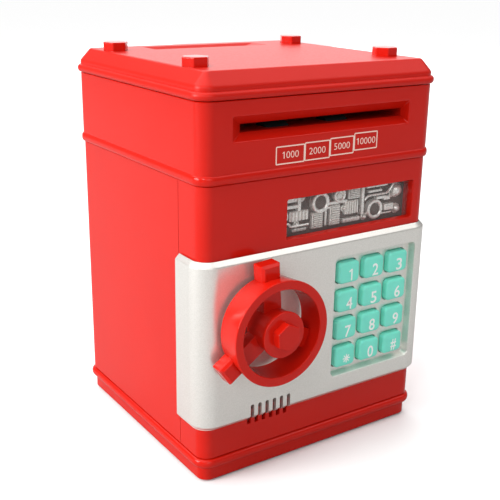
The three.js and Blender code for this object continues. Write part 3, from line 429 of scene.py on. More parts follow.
def gauge(x, z, radius, rise):
    """A ringed gauge: a flat rim, a sunk face and a raised hub in one turned profile."""
    back, front = RELIEF_BACK - 0.2, RELIEF_BACK + rise
    profile = [(radius, back), (radius, front - 0.3), (radius - 0.3, front), (radius * 0.76, front),
               (radius * 0.66, front - 0.35), (radius * 0.62, front - 1.3), (radius * 0.34, front - 1.3),
               (radius * 0.3, front - 0.7), (radius * 0.12, front - 0.5)]
    return turned_part(profile, (x, z), 48)


def fins(x0, x1, z0, z1, count, rise, upright=False):
    """A finned stack: a base block and thin blades at an even pitch across or up it."""
    low, high = (x0, x1) if upright else (z0, z1)
    pitch = (high - low) / count
    edges = low + pitch * (np.arange(count) + 0.22)
    blades = [block(e, e + pitch * 0.56, z0, z1, RELIEF_BACK, RELIEF_BACK + rise, 0.12, 0.1) if upright
              else block(x0, x1, e, e + pitch * 0.56, RELIEF_BACK, RELIEF_BACK + rise, 0.12, 0.1)
              for e in edges]
    base = block(x0 - 0.5, x1 + 0.5, z0 - 0.3, z1 + 0.3, RELIEF_BACK - 0.2, RELIEF_BACK + rise - 0.9)
    return [base] + blades


def dome(x, z, radius, rise=2.4):
    """A round-headed stud: a quarter circle turned about its axis, on a thin washer."""
    angle = np.linspace(0, np.pi / 2 - 0.12, 9)
    cap = np.stack([radius * np.cos(angle), RELIEF_BACK + 0.3 + (rise - 0.3) * np.sin(angle)], -1)
    washer = [(radius + 0.5, RELIEF_BACK - 0.2), (radius + 0.5, RELIEF_BACK + 0.3)]
    return turned_part(np.vstack([washer, cap]), (x, z), 32)


def pipe(points, radius=0.55, rise=1.5):
    """A pipe along a path in the window's plane: a ring of points round each place on it."""
    path = soften(points, 1.6, 5, closed=False)
    along = np.gradient(path, axis=0)
    along /= np.linalg.norm(along, axis=1, keepdims=True)
    angle = np.arange(10) * 2 * np.pi / 10
    across = np.stack([along[:, 1], -along[:, 0]], -1)
    plan = path[:, None] + radius * np.cos(angle)[None, :, None] * across[:, None]
    height = RELIEF_BACK + rise + radius * np.sin(angle) + np.zeros((len(path), 1))
    return facing(loft(np.concatenate([plan, height[..., None]], -1)[:, ::-1]))


relief_parts = [gauge(2.8, 121.3, 4.9, 2.7), gauge(14.2, 123.1, 3.4, 2.3), gauge(35.6, 113.6, 4.7, 2.8),
                gauge(-18.2, 117.2, 3.2, 2.2), dome(50.2, 120.8, 3.0, 3.0)]
relief_parts += fins(-0.8, 4.4, 109.4, 116.2, 7, 2.3) + fins(9.4, 14.2, 109.6, 118.4, 8, 2.5)
relief_parts += fins(18.4, 25.6, 113.4, 119.2, 5, 2.2, True) + fins(-13.6, -4.0, 114.6, 118.6, 5, 2.4, True)
relief_parts += fins(20.6, 26.4, 120.4, 126.2, 7, 1.9)
relief_parts += [
    block(-18.8, -8.6, 120.2, 121.8, RELIEF_BACK, RELIEF_BACK + 1.5),
    block(-16.4, -9.4, 123.0, 126.0, RELIEF_BACK, RELIEF_BACK + 1.2),
    block(-9.8, -8.0, 118.8, 125.0, RELIEF_BACK, RELIEF_BACK + 1.9),
    block(7.8, 19.4, 119.0, 120.4, RELIEF_BACK, RELIEF_BACK + 1.4),
    block(27.4, 29.0, 112.0, 126.0, RELIEF_BACK, RELIEF_BACK + 2.1),
    block(30.4, 43.4, 124.2, 126.4, RELIEF_BACK, RELIEF_BACK + 2.0),
    block(32.0, 40.6, 121.6, 122.8, RELIEF_BACK, RELIEF_BACK + 1.4),
    block(41.6, 45.8, 117.0, 119.0, RELIEF_BACK, RELIEF_BACK + 1.7),
    block(41.6, 47.8, 112.0, 115.2, RELIEF_BACK, RELIEF_BACK + 2.3),
    block(43.0, 46.6, 112.8, 114.4, RELIEF_BACK, RELIEF_BACK + 2.8),
    block(36.8, 43.0, 118.0, 119.4, RELIEF_BACK, RELIEF_BACK + 2.0),
    block(-20.8, -15.4, 109.0, 112.4, RELIEF_BACK, RELIEF_BACK + 1.8),
    block(-12.2, -4.2, 109.2, 110.6, RELIEF_BACK, RELIEF_BACK + 1.3),
    block(16.6, 27.0, 109.4, 111.4, RELIEF_BACK, RELIEF_BACK + 1.8),
    dome(50.8, 111.6, 2.0), dome(-9.4, 112.4, 1.2, 1.9), dome(-6.4, 124.2, 1.1, 1.8),
    dome(17.8, 116.0, 1.0, 2.0),
    dome(38.0, 109.8, 1.1, 1.9), dome(30.4, 110.2, 1.2, 2.0), dome(47.6, 119.2, 1.0, 2.6),
    pipe([(-20.5, 113.6), (-14.0, 113.6), (-14.0, 112.0), (-3.4, 112.0)]),
    pipe([(6.4, 110.0), (6.4, 118.0), (8.4, 118.0)]),
    pipe([(29.6, 118.6), (31.4, 120.4), (44.0, 120.4), (47.4, 124.6)]),
    pipe([(30.0, 112.0), (40.0, 110.6), (47.0, 110.6)], 0.45, 1.2),
]
make_piece("relief_machinery", relief_parts, plated_relief, "cabinet", ["machinery_relief"])
# The backing and the dark dial faces in the two big gauges carry the painted shade of the gaps and sunk
# faces.
backing = block(-21.4, 55.8, 107.0, 128.3, 50.4, RELIEF_BACK - 0.1)
dial_faces = [turned_part([(radius * 0.6, RELIEF_BACK - 0.3), (radius * 0.6, RELIEF_BACK + rise - 0.5),
                           (radius * 0.56, RELIEF_BACK + rise - 0.45)], (x, z), 32)
              for x, z, radius, rise in ((2.8, 121.3, 4.9, 2.7), (35.6, 113.6, 4.7, 2.8))]
make_piece("relief_backing_painted_shade", [backing] + dial_faces, painted_shade_backing, "cabinet")

# ---------- upper shell ----------
# The head of the cabinet: a red ABS band above a half-round bead, with a sloped mouth for
# banknotes sunk into its front.
UPPER_HALF_WIDTH, UPPER_HALF_DEPTH, UPPER_CORNER = 63.7, 60.0, 6.5
BODY_BEAD = (137.6, 141.6)
UPPER_TOP = 171.5
MOUTH_X, MOUTH_Z, MOUTH_MARGIN = (-48.7, 47.8), (154.5, 165.0), 1.0
SLOT_X, SLOT_Z = (-42.2, 46.6), (157.5, 160.8)

band_bead = half_round(*BODY_BEAD, 0.9)
band_bead[[0, -1], 0] = -0.5, 0.0
mouth_hole = (MOUTH_X[0] - MOUTH_MARGIN, MOUTH_X[1] + MOUTH_MARGIN,
              MOUTH_Z[0] - MOUTH_MARGIN, MOUTH_Z[1] + MOUTH_MARGIN)
band_rises = [(0, 142.5), (0, mouth_hole[2]), (0, mouth_hole[3]), (0, UPPER_TOP - 0.3), (-0.25, UPPER_TOP)]
band_profile = np.vstack([band_bead, band_rises])
band_stations = np.array([*mouth_hole[:2]])
band_rows = band_profile[:, 1]
front_outer = u_wall(u_plan(UPPER_HALF_WIDTH, UPPER_HALF_DEPTH, UPPER_CORNER, band_stations, 0, 0,
                            -band_profile[:, 0]), band_rows)
front_inner = u_wall(u_plan(UPPER_HALF_WIDTH, UPPER_HALF_DEPTH, UPPER_CORNER, band_stations, 0, 0,
                            WALL + 0 * band_rows), band_rows)
band_outer = np.vstack([front_outer, front_outer[1:] * about])
band_inner = np.vstack([front_inner, front_inner[1:] * about])


def mouth_section(ranges, height, corner, out=0.0):
    """One rounded rectangle of the mouth as half sizes, corner, centre and height."""
    (x0, x1), (z0, z1) = ranges
    return ((x1 - x0) / 2 + out, (z1 - z0) / 2 + out, corner, (x0 + x1) / 2, (z0 + z1) / 2, height)


mouth_sections = [
    mouth_section((MOUTH_X, MOUTH_Z), 60.0, 0.02, MOUTH_MARGIN),
    mouth_section((MOUTH_X, MOUTH_Z), 60.0, 0.9, 0.35),
    mouth_section((MOUTH_X, MOUTH_Z), 59.93, 0.8, 0.1),
    mouth_section((MOUTH_X, MOUTH_Z), 59.7, 0.7, -0.15),
    mouth_section((SLOT_X, SLOT_Z), 55.25, 0.35, 0.15),
    mouth_section((SLOT_X, SLOT_Z), 55.0, 0.3, 0.1),
    mouth_section((SLOT_X, SLOT_Z), 54.9, 0.3, 0.3),
    mouth_section((MOUTH_X, MOUTH_Z), 55.0, 0.5, MOUTH_MARGIN),
]
mouth_part = facing(loft(outlines(mouth_sections), ring=True))
upper_parts = [shell(band_outer, band_inner, kept(band_outer, [(*mouth_hole, -50)])), mouth_part]
make_piece("upper_shell_wall", upper_parts, red_abs, "cabinet", ["upper_shell"])

# Four outlined boxes with plain numbers are pad-printed under the mouth in cream ink.
cream_ink = moulded_plastic("cream_pad_printing_ink", "#FBE3D6", "#F4D3C4", 0.45, 5, 0.6, 0.01)
LINE_WIDTH, INK_THICKNESS = 0.5, 0.05
INK_STEP = 0.006
LEGEND_BOXES = [("1000", -27.3, -12.1, 142.9, 150.8), ("2000", -12.1, 1.7, 143.1, 151.2),
                ("5000", 1.7, 15.3, 143.8, 151.8), ("10000", 15.3, 29.0, 144.8, 152.8)]


def ink_frame(x0, x1, z0, z1, face):
    """A printed outline: two rounded rectangles, one inside the other, at two heights."""
    half_x, half_z = (x1 - x0) / 2, (z1 - z0) / 2
    profile = [(0, face - 0.02), (0, face + INK_THICKNESS), (-LINE_WIDTH, face + INK_THICKNESS),
               (-LINE_WIDTH, face - 0.02)]
    outline = swept(half_x, half_z, 0.55, profile, steps=3)
    return facing(loft(outline, ring=True), ((x0 + x1) / 2, (z0 + z1) / 2))


def figure_ones(places, height, face, stroke):
    """Plain figure ones as an upright bar and a slanted flag, for each x, z of their middles."""
    parts = []
    for x, z in places:
        bar = swept(stroke / 2, height / 2, stroke * 0.2, [(0, face), (0, face + INK_THICKNESS)], steps=2)
        flag = swept(height * 0.17, stroke * 0.42, stroke * 0.2,
                     [(0, face), (0, face + INK_THICKNESS + INK_STEP)], steps=2)
        parts.append(facing(loft(bar), (x + height * 0.1, z)))
        parts.append(facing(loft(flag), (x - height * 0.04, z + height * 0.37), 38))
    return parts


def ink_text(name, text, x, z, face, height, width, body, material, weight=0.0):
    """Plain figures, cut as a flat face from a font, thickened by a weight, scaled to a height and
    width and laid on."""
    curve = bpy.data.curves.new(name, "FONT")
    curve.body = text
    curve.extrude = 0.03
    curve.offset = weight
    curve.resolution_u = 4
    source = bpy.data.objects.new(name, curve)
    bpy.context.scene.collection.objects.link(source)
    bpy.context.view_layer.update()
    mesh = bpy.data.meshes.new_from_object(source.evaluated_get(bpy.context.evaluated_depsgraph_get()))
    bpy.data.objects.remove(source)
    points = np.zeros(len(mesh.vertices) * 3, np.float32)
    mesh.vertices.foreach_get("co", points)
    points = points.reshape(-1, 3).astype(float)
    low, high = points.min(0), points.max(0)
    size = np.array([width, height, INK_THICKNESS]) / (high - low)
    flat = (points - (low + high) / 2) * size
    placed = np.stack([x + flat[:, 0], -(face + flat[:, 2]) + CABINET_SHIFT, z + flat[:, 1]], -1)
    mesh.vertices.foreach_set("co", (placed * 0.001).astype(np.float32).ravel())
    mesh.materials.clear()
    mesh.materials.append(material)
    piece = bpy.data.objects.new(name, mesh)
    bpy.context.scene.collection.objects.link(piece)
    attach(piece, body)
    return piece


legend_parts = [ink_frame(x0, x1, z0, z1, UPPER_HALF_DEPTH) for _, x0, x1, z0, z1 in LEGEND_BOXES]
FIGURE_HEIGHT, FIGURE_PITCH = 2.9, 2.35
for number, x0, x1, z0, z1 in LEGEND_BOXES:
    middle, rest = (x0 + x1) / 2, number[1:] if number[0] == "1" else number
    if rest != number:
        legend_parts += figure_ones([(middle - FIGURE_PITCH * len(rest) / 2, (z0 + z1) / 2)], FIGURE_HEIGHT,
                                    UPPER_HALF_DEPTH - 0.01, 0.42)
        middle += FIGURE_PITCH / 2
    ink_text(f"legend_{number}", rest, middle, (z0 + z1) / 2, UPPER_HALF_DEPTH + 0.01, FIGURE_HEIGHT,
             FIGURE_PITCH * len(rest) - 0.5, "cabinet", cream_ink, -0.008)
make_piece("legend_boxes", legend_parts, cream_ink, "cabinet")

# ---------- lid ----------
# A shallow red ABS tray turned over and glued on: a half-round bead, a broad sloped edge and a
# flat top with a dished coin slot towards the back.
LID_BEAD = (171.8, 175.4)
LID_TOP, LID_SLOPE_BOTTOM, LID_SLOPE_IN = 183.0, 177.35, 5.0
SLOT_HALF_LENGTH, SLOT_HALF_WIDTH, DISH_HALF_LENGTH, DISH_HALF_WIDTH, COIN_Y = 20.0, 1.8, 33.0, 7.0, 41.0

lid_side = soften([(-0.2, 175.4), (0, 175.5), (0, LID_SLOPE_BOTTOM), (-LID_SLOPE_IN, LID_TOP), (-9, LID_TOP)],
                  [0, 0.05, 1.0, 0.8, 0], 5, closed=False)
lid_outside = swept(UPPER_HALF_WIDTH, UPPER_HALF_DEPTH, UPPER_CORNER,
                    np.vstack([half_round(*LID_BEAD, 1.5), lid_side[1:-1]]))
lid_underside = swept(UPPER_HALF_WIDTH, UPPER_HALF_DEPTH, UPPER_CORNER + 2,
                      [(-7.2, 180.8), (-2.6, 176.5), (-2.6, 171.8)])


def dish_section(half_x, half_y, corner, height):
    """One rounded rectangle of the coin dish about its own centre."""
    return (half_x, half_y, corner, 0, COIN_Y, height)


dish = outlines([
    dish_section(DISH_HALF_LENGTH + 0.3, DISH_HALF_WIDTH + 0.3, 1.2, LID_TOP),
    dish_section(DISH_HALF_LENGTH, DISH_HALF_WIDTH, 1.0, LID_TOP - 0.08),
    dish_section(DISH_HALF_LENGTH - 0.6, DISH_HALF_WIDTH - 0.3, 0.9, LID_TOP - 0.25),
    dish_section(SLOT_HALF_LENGTH + 0.6, SLOT_HALF_WIDTH + 0.3, 0.5, LID_TOP - 2.85),
    dish_section(SLOT_HALF_LENGTH, SLOT_HALF_WIDTH, 0.4, LID_TOP - 3.1),
    dish_section(SLOT_HALF_LENGTH, SLOT_HALF_WIDTH, 0.4, LID_TOP - 4.9),
    dish_section(DISH_HALF_LENGTH + 1, DISH_HALF_WIDTH + 1, 1.0, LID_TOP - 4.9),
    dish_section(DISH_HALF_LENGTH + 1, DISH_HALF_WIDTH + 1, 1.0, LID_TOP - 2.3),
])

# Satin ABS: the lid's mould is spark-eroded, which leaves a fine grain and a softer shine.
satin_red_abs = moulded_plastic("satin_red_abs_spark_eroded", "#CE1C0E", "#C2160A", 0.36, 60, 1.2, 0.03)
make_piece("lid_tray", [loft(np.concatenate([lid_outside, dish, lid_underside]), ring=True)], satin_red_abs,
           "cabinet", ["lid"])

# Four hexagonal caps are glued over the lid's corners, each of them turned its own way.
CAP_RADIUS, CAP_TOP, CAP_SHIFT = 6.1, 187.0, -1.0
CAPS = {"front_left": (-51.8, -37.5, 53), "front_right": (51.8, -37.5, 5),
        "rear_left": (-51.8, 37.5, 53), "rear_right": (51.8, 37.5, 2)}


def hexagons(profile, turn, corner=0.5):
    """Hexagons with softened corners, one for each radius and height of a profile."""
    angle = np.radians(turn + 60 * np.arange(6))
    outline = soften(np.stack([np.cos(angle), np.sin(angle)], -1), corner / 6)
    radius, height = np.asarray(profile, float).T
    plan = outline[None] * radius[:, None, None]
    return np.concatenate([plan, np.broadcast_to(height[:, None, None], (*plan.shape[:2], 1))], -1)


cap_profile = soften([(CAP_RADIUS, LID_TOP + 0.02), (CAP_RADIUS, CAP_TOP), (1, CAP_TOP)], [0, 0.55, 0],
                     closed=False)
for corner_name, (x, y, turn) in CAPS.items():
    points, faces = loft(hexagons(cap_profile, turn))
    make_piece(f"lid_cap_{corner_name}", [(points + (x + CAP_SHIFT, y, 0), faces)], red_abs, "cabinet",
               [f"lid_bolt_cap_{corner_name}"])

# ---------- feeder, chute and boards ----------
# Behind the mouth a red ABS guide carries rubber rollers on a steel shaft, driven by acetal gears
# and a small motor. A white chute brings coins down, and the control board sits on the black deck.
natural_acetal = moulded_plastic("natural_acetal_moulded", "#E9E7DE", "#DEDBD0", 0.42, 12, 1.5, 0.02,
                                 subsurface=0.05)
board_green = moulded_plastic("solder_masked_board", "#2B7442", "#35834D", 0.38, 4, 0.7, 0.02)
finish_nodes(black_abs, "mechanism_deck")
finish_nodes(red_abs, "bill_guide")
finish_nodes(turned_steel, "feed_shaft", "motor_pinion")
finish_nodes(black_rubber, "feed_roller_left", "feed_roller_right", "idler_roller")
finish_nodes(natural_acetal, "feed_shaft_gear", "reduction_gear", "coin_chute")
finish_nodes(zinc_steel, "feed_motor")
finish_nodes(board_green, "main_board")

# ---------- door ----------
# A moulded ABS door sprayed with silver lacquer. It wraps round both front corners, has a sloped
# top and bottom edge, a sunk panel with a hole for each key, a round hole for the handwheel's
# spindle, and slots for the sound.
DOOR_SIDE, DOOR_FACE, DOOR_CORNER, DOOR_THICK = 65.9, 62.2, 9.5, 2.1
DOOR_BOTTOM, DOOR_TOP, DOOR_RIGHT_END = 26.8, 105.3, -42.3
SPINDLE_X, SPINDLE_Z, SPINDLE_HOLE = -34.2, 74.1, 3.1
PANEL_X, PANEL_Z, PANEL_DEPTH, PANEL_FLOOR = (6.5, 56.1), (36.4, 96.5), 3.3, 1.6
KEY_WIDTH, KEY_HEIGHT, KEY_CORNER, KEY_FACE = 12.1, 10.5, 2.2, 61.9
KEY_PITCH_X, KEY_PITCH_Z, KEY_GAP = 15.2, 14.2, 0.4
KEY_CENTRE_X, KEY_CENTRE_Z = 30.6, 66.5

# Lacquer with aluminium flake: 0.05 mm flakes, drawn at 0.3 mm so that their sparkle shows.
silver_lacquer, lacquer_output = new_material("silver_flake_lacquer_sprayed")
lacquer_place = add_node(silver_lacquer, "ShaderNodeTexCoord")
flake = add_node(silver_lacquer, "ShaderNodeTexVoronoi", {"Scale": 1000 / 0.3},
                 {"Vector": (lacquer_place, "Object")})
cloud = add_node(silver_lacquer, "ShaderNodeTexNoise", {"Scale": 1000 / 40, "Detail": 3.0},
                 {"Vector": (lacquer_place, "Object")})
flake_light = add_node(silver_lacquer, "ShaderNodeSeparateColor", {}, {"Color": (flake, "Color")})
flake_tint = add_node(silver_lacquer, "ShaderNodeMix",
                      {"data_type": "RGBA", 6: linear("#E6E4DE"), 7: linear("#F1EFEA")},
                      {0: (flake_light, "Red")})
cloud_tint = add_node(silver_lacquer, "ShaderNodeMix",
                      {"data_type": "RGBA", "blend_type": "MULTIPLY", 0: 0.25, 7: linear("#F0EEEA")},
                      {6: (flake_tint, 2)})
lacquer_gloss = add_node(silver_lacquer, "ShaderNodeMapRange", {"To Min": 0.3, "To Max": 0.36},
                         {"Value": (cloud, "Fac")})
lacquer_bump = add_node(silver_lacquer, "ShaderNodeBump", {"Strength": 0.12, "Distance": 0.000006},
                        {"Height": (flake_light, "Green")})
lacquer = add_node(silver_lacquer, "ShaderNodeBsdfPrincipled",
                   {"Metallic": 0.68, "IOR": 1.5, "Coat Weight": 0.25, "Coat Roughness": 0.2},
                   {"Base Color": (cloud_tint, 2), "Roughness": (lacquer_gloss, "Result"),
                    "Normal": (lacquer_bump, "Normal")})
silver_lacquer.node_tree.links.new(lacquer.outputs[0], lacquer_output.inputs[0])

vent_radius = VENT_WIDTH / 2
vent_shoulder = VENT_TOP - vent_radius
arch_rows = vent_shoulder + vent_radius * np.sin(np.linspace(0, np.pi / 2, 7))
panel_hole = (PANEL_X[0] - 3, PANEL_X[1] + 0.3, PANEL_Z[0] - 1.2, PANEL_Z[1] + 3)
door_profile = soften([(-DOOR_THICK, DOOR_BOTTOM), (0, DOOR_BOTTOM + DOOR_THICK),
                       (0, DOOR_TOP - DOOR_THICK), (-DOOR_THICK, DOOR_TOP)], [0, 0.5, 0.5, 0], closed=False)
spindle_hole = (vent_edges[vent_edges < SPINDLE_X - SPINDLE_HOLE].max(),
                vent_edges[vent_edges > SPINDLE_X + SPINDLE_HOLE].min(), SPINDLE_Z - 4, SPINDLE_Z + 4)
plain_rows = np.array([*arch_rows, *panel_hole[2:], *spindle_hole[2:]])
door_profile = np.vstack([door_profile, np.stack([0 * plain_rows, plain_rows], -1)])
door_profile = door_profile[np.argsort(door_profile[:, 1], kind="stable")]
door_stations = np.unique(np.concatenate([vent_edges, vent_left + vent_radius, panel_hole[:2]]))
door_outer = u_wall(u_plan(DOOR_SIDE, DOOR_FACE, DOOR_CORNER, door_stations, -42.0, DOOR_RIGHT_END,
                           -door_profile[:, 0]), door_profile[:, 1])
door_inner = u_wall(u_plan(DOOR_SIDE, DOOR_FACE, DOOR_CORNER, door_stations, -42.0, DOOR_RIGHT_END,
                           DOOR_THICK + 0 * door_profile[:, 0]), door_profile[:, 1])
door_inner[..., 0] -= np.where(door_inner[..., 0] < -DOOR_SIDE + DOOR_CORNER, 0.3, 0)


def arch(grid):
    """Draws the two edges of each slot together above its shoulder along a half circle:
    x = middle +- sqrt(r^2 - rise^2)."""
    rise = np.clip(grid[..., 2] - vent_shoulder, 0, vent_radius)
    reach = np.sqrt(np.maximum(vent_radius ** 2 - rise ** 2, 1e-6))
    middle = vent_left[np.abs(grid[..., 0:1] - (vent_left + vent_radius)).argmin(-1)] + vent_radius
    offset = grid[..., 0] - middle
    edge = (np.abs(np.abs(offset) - vent_radius) < 1e-6) & (grid[..., 2] < VENT_TOP + 1e-6)
    grid[..., 0] = np.where(edge, middle + np.sign(offset) * reach, grid[..., 0])


door_holes = [(*panel_hole, -50), (*spindle_hole, -50)]
door_holes += [(x, x + VENT_WIDTH, 0, VENT_TOP, -50) for x in vent_left]
door_kept = kept(door_outer, door_holes)
arch(door_outer)
arch(door_inner)

panel_sections = [
    mouth_section((panel_hole[:2], panel_hole[2:]), DOOR_FACE, 0.02),
    mouth_section((PANEL_X, PANEL_Z), DOOR_FACE, 2.6, 0.25),
    mouth_section((PANEL_X, PANEL_Z), DOOR_FACE - 0.07, 2.5, 0.05),
    mouth_section((PANEL_X, PANEL_Z), DOOR_FACE - 0.3, 2.4, -0.1),
    mouth_section((PANEL_X, PANEL_Z), DOOR_FACE - PANEL_DEPTH + 0.4, 1.7, -0.9),
    mouth_section((PANEL_X, PANEL_Z), DOOR_FACE - PANEL_DEPTH, 1.4, -1.25),
    mouth_section((PANEL_X, PANEL_Z), DOOR_FACE - PANEL_DEPTH - PANEL_FLOOR, 1.4, -1.25),
    mouth_section((panel_hole[:2], panel_hole[2:]), DOOR_FACE - PANEL_DEPTH - PANEL_FLOOR, 0.02),
]
column_x = KEY_CENTRE_X + KEY_PITCH_X * np.array([-1, 0, 1])
row_z = KEY_CENTRE_Z + KEY_PITCH_Z * np.array([1.5, 0.5, -0.5, -1.5])
HOLE_MARGIN = 0.8
hole_half_x, hole_half_z = KEY_WIDTH / 2 + KEY_GAP, KEY_HEIGHT / 2 + KEY_GAP
panel_front = DOOR_FACE - PANEL_DEPTH
lattice_x = np.sort([PANEL_X[0], PANEL_X[1], *(column_x - hole_half_x - HOLE_MARGIN),
                     *(column_x + hole_half_x + HOLE_MARGIN)])
lattice_z = np.sort([PANEL_Z[0], PANEL_Z[1], *(row_z - hole_half_z - HOLE_MARGIN),
                     *(row_z + hole_half_z + HOLE_MARGIN)])
lattice = np.stack(np.meshgrid(lattice_x, lattice_z, indexing="ij"), -1)
lattice_front = np.concatenate([lattice, np.full((*lattice.shape[:2], 1), panel_front)], -1)
lattice_kept = np.ones((len(lattice_x) - 1, len(lattice_z) - 1), bool)
lattice_kept[1::2, 1::2] = False
door_parts = [shell(door_outer, door_inner, door_kept), facing(loft(outlines(panel_sections), ring=True)),
              facing(shell(lattice_front, lattice_front - (0, 0, PANEL_FLOOR), lattice_kept))]
door_parts += [collar((x - hole_half_x, x + hole_half_x), (z - hole_half_z, z + hole_half_z), panel_front,
                      HOLE_MARGIN, PANEL_FLOOR, 0, KEY_CORNER + KEY_GAP, 0.25)
               for x in column_x for z in row_z]
spindle_round = ((SPINDLE_X - SPINDLE_HOLE, SPINDLE_X + SPINDLE_HOLE),
                 (SPINDLE_Z - SPINDLE_HOLE, SPINDLE_Z + SPINDLE_HOLE))
spindle_sections = [
    mouth_section((spindle_hole[:2], spindle_hole[2:]), DOOR_FACE, 0.02),
    mouth_section(spindle_round, DOOR_FACE, SPINDLE_HOLE),
    mouth_section(spindle_round, DOOR_FACE - DOOR_THICK, SPINDLE_HOLE),
    mouth_section((spindle_hole[:2], spindle_hole[2:]), DOOR_FACE - DOOR_THICK, 0.02),
]
door_parts.append(facing(loft(outlines(spindle_sections), ring=True)))
# The wrapped edge meets its own barrels here, and stops short of the cabinet's.
strip_ends = [(edge + 0.2, edge + HINGE_PITCH - 0.2) for edge in knuckle_edges[1:HINGE_COUNT:2]]
strip_ends = [(DOOR_BOTTOM + DOOR_THICK, HINGE_BOTTOM - 0.3), *strip_ends,
              (knuckle_edges[-1] + 0.3, DOOR_TOP - DOOR_THICK)]
STRIP_HALF_WIDTH, STRIP_LAP = 0.75, 0.1
door_parts += [loft(swept(DOOR_THICK / 2, STRIP_HALF_WIDTH, 0.02, [(0, low), (0, high)],
                          (DOOR_SIDE - DOOR_THICK / 2, DOOR_RIGHT_END - STRIP_LAP + STRIP_HALF_WIDTH)))
               for low, high in strip_ends]
make_piece("door_skin_lacquered", door_parts + knuckle_parts(1), silver_lacquer, "door", ["door_skin"])

# A red inner cover closes the back of the door, over the key mat, its board and the lock.
white_silicone = moulded_plastic("white_silicone_moulded", "#DCDFDB", "#D2D5D0", 0.6, 10, 1, 0.02)
finish_nodes(red_abs, "door_inner_cover")
finish_nodes(white_silicone, "key_mat")
finish_nodes(board_green, "keypad_board")
finish_nodes(turned_steel, "hinge_pin")

# ---------- keys ----------
# Twelve pillow-shaped keys of mint-green thermoplastic rubber, with white printed figures.
mint_rubber = moulded_plastic("mint_rubber_moulded", "#86F0DA", "#7AE6CF", 0.42, 8, 0.7, 0.02,
                              subsurface=0.1)
white_ink = moulded_plastic("white_pad_printing_ink", "#FDFFFC", "#F1F6F0", 0.4, 4, 0.5, 0.01)
KEY_ROWS = [["1", "2", "3"], ["4", "5", "6"], ["7", "8", "9"], ["star", "0", "hash"]]
key_profile = [(0, 57.6), (0, 60.7), (-0.08, 61.1), (-0.3, 61.45), (-0.7, 61.68), (-1.2, 61.78),
               (-2.6, 61.86), (-4.4, 61.9)]


def star_parts(x, z, face, reach=2.3, width=0.55):
    """A printed star: four flat bars crossed at 45 degrees, each a hair thicker than the last."""
    bars = [swept(reach, width / 2, width / 2, [(0, face), (0, face + INK_THICKNESS + INK_STEP * index)],
                  steps=3) for index in range(4)]
    return [facing(loft(bar), (x, z), 45 * index) for index, bar in enumerate(bars)]


for row_names, z in zip(KEY_ROWS, row_z):
    for figure, x in zip(row_names, column_x):
        key_body = f"key_{figure}_body"
        cap = facing(loft(swept(KEY_WIDTH / 2, KEY_HEIGHT / 2, KEY_CORNER, key_profile)), (x, z))
        make_piece(f"key_{figure}_cap", [cap], mint_rubber, key_body, [f"key_{figure}"], 60)
        if figure == "star":
            make_piece("key_star_print", star_parts(x + 0.7, z - 1.2, KEY_FACE - 0.01), white_ink, key_body)
        elif figure == "1":
            make_piece("key_1_print", figure_ones([(x + 0.7, z - 1.2)], 5.7, KEY_FACE - 0.01, 0.75),
                       white_ink, key_body)
        else:
            ink_text(f"key_{figure}_print", {"hash": "#"}.get(figure, figure), x + 0.7, z - 1.2,
                     KEY_FACE + 0.01, 5.9, 3.6, key_body, white_ink, 0.012)

# ---------- handwheel ----------
# A deep red ABS rim on three sunk spokes with three square lugs outside, moulded in one piece,
# and a hexagonal cap glued over the hub.
WHEEL_X, WHEEL_Z, WHEEL_TILT = -34.2, 74.1, 4.6
WHEEL_FRONT, WHEEL_BACK, RIM_FRONT, RIM_BACK, BORE = 78.2, 64.2, 24.0, 22.6, 19.9
LUG_FRONT, LUG_BACK, LUG_WIDTH, LUG_REACH = 72.4, 65.6, 9.8, 29.9
HUB_RADIUS, DISC_RADIUS, DISC_FRONT, HEX_RADIUS, HEX_FRONT = 9.6, 10.45, 79.2, 6.4, 83.0


def ring_part(profile, centre, sides=128):
    """A turned ring that faces the front: circles of a closed profile, joined into a ring."""
    radius, height = np.asarray(profile, float).T
    angle = np.arange(sides) * 2 * np.pi / sides
    x = radius[:, None] * np.cos(angle)
    y = radius[:, None] * np.sin(angle)
    return facing(loft(np.stack([x, y, height[:, None] + 0 * x], -1), ring=True), centre)


wheel_centre = (WHEEL_X, WHEEL_Z)
rim_profile = soften([(RIM_BACK, WHEEL_BACK), (RIM_FRONT, WHEEL_FRONT), (BORE, WHEEL_FRONT),
                      (BORE, WHEEL_BACK)], [0.4, 0.6, 0.6, 0.4])
wheel_parts = [ring_part(rim_profile, wheel_centre)]
spoke_profile = [(0, LUG_BACK), (0, 71.0), (-0.15, 71.35), (-0.5, 71.5)]
lug_profile = soften([(0, LUG_BACK), (0, LUG_FRONT - 1.4), (-1.2, LUG_FRONT), (-3, LUG_FRONT)],
                     [0, 0.3, 0.3, 0], closed=False)[:-1]
for turn in (0, 120, 240):
    spoke = swept(4.6, 8.0, 0.4, spoke_profile, (0, 13.0), 3)
    lug = swept(LUG_WIDTH / 2, (LUG_REACH - 22.2) / 2, 0.7, lug_profile, (0, (LUG_REACH + 22.2) / 2), 4)
    wheel_parts += [facing(loft(spoke), wheel_centre, turn + WHEEL_TILT),
                    facing(loft(lug), wheel_centre, turn + WHEEL_TILT)]
wheel_parts.append(turned_part([(7, 62.65), (7, 65), (HUB_RADIUS, 65), (HUB_RADIUS, 76.7), (9.3, 77.1)],
                               wheel_centre, 96))
make_piece("handwheel_rim", wheel_parts, red_abs, "wheel", ["handwheel"])

disc_profile = soften([(DISC_RADIUS - 0.3, 77.42), (DISC_RADIUS, 77.6), (DISC_RADIUS, DISC_FRONT),
                       (5, DISC_FRONT)], [0, 0.1, 0.5, 0], closed=False)
hex_profile = soften([(HEX_RADIUS, DISC_FRONT - 0.1), (HEX_RADIUS, HEX_FRONT), (1, HEX_FRONT)], [0, 0.5, 0],
                     closed=False)
make_piece("hub_cap_hexagon", [turned_part(disc_profile, wheel_centre, 96),
                               facing(loft(hexagons(hex_profile, 30)), wheel_centre, WHEEL_TILT)],
           red_abs, "wheel", ["wheel_hub_cap"])

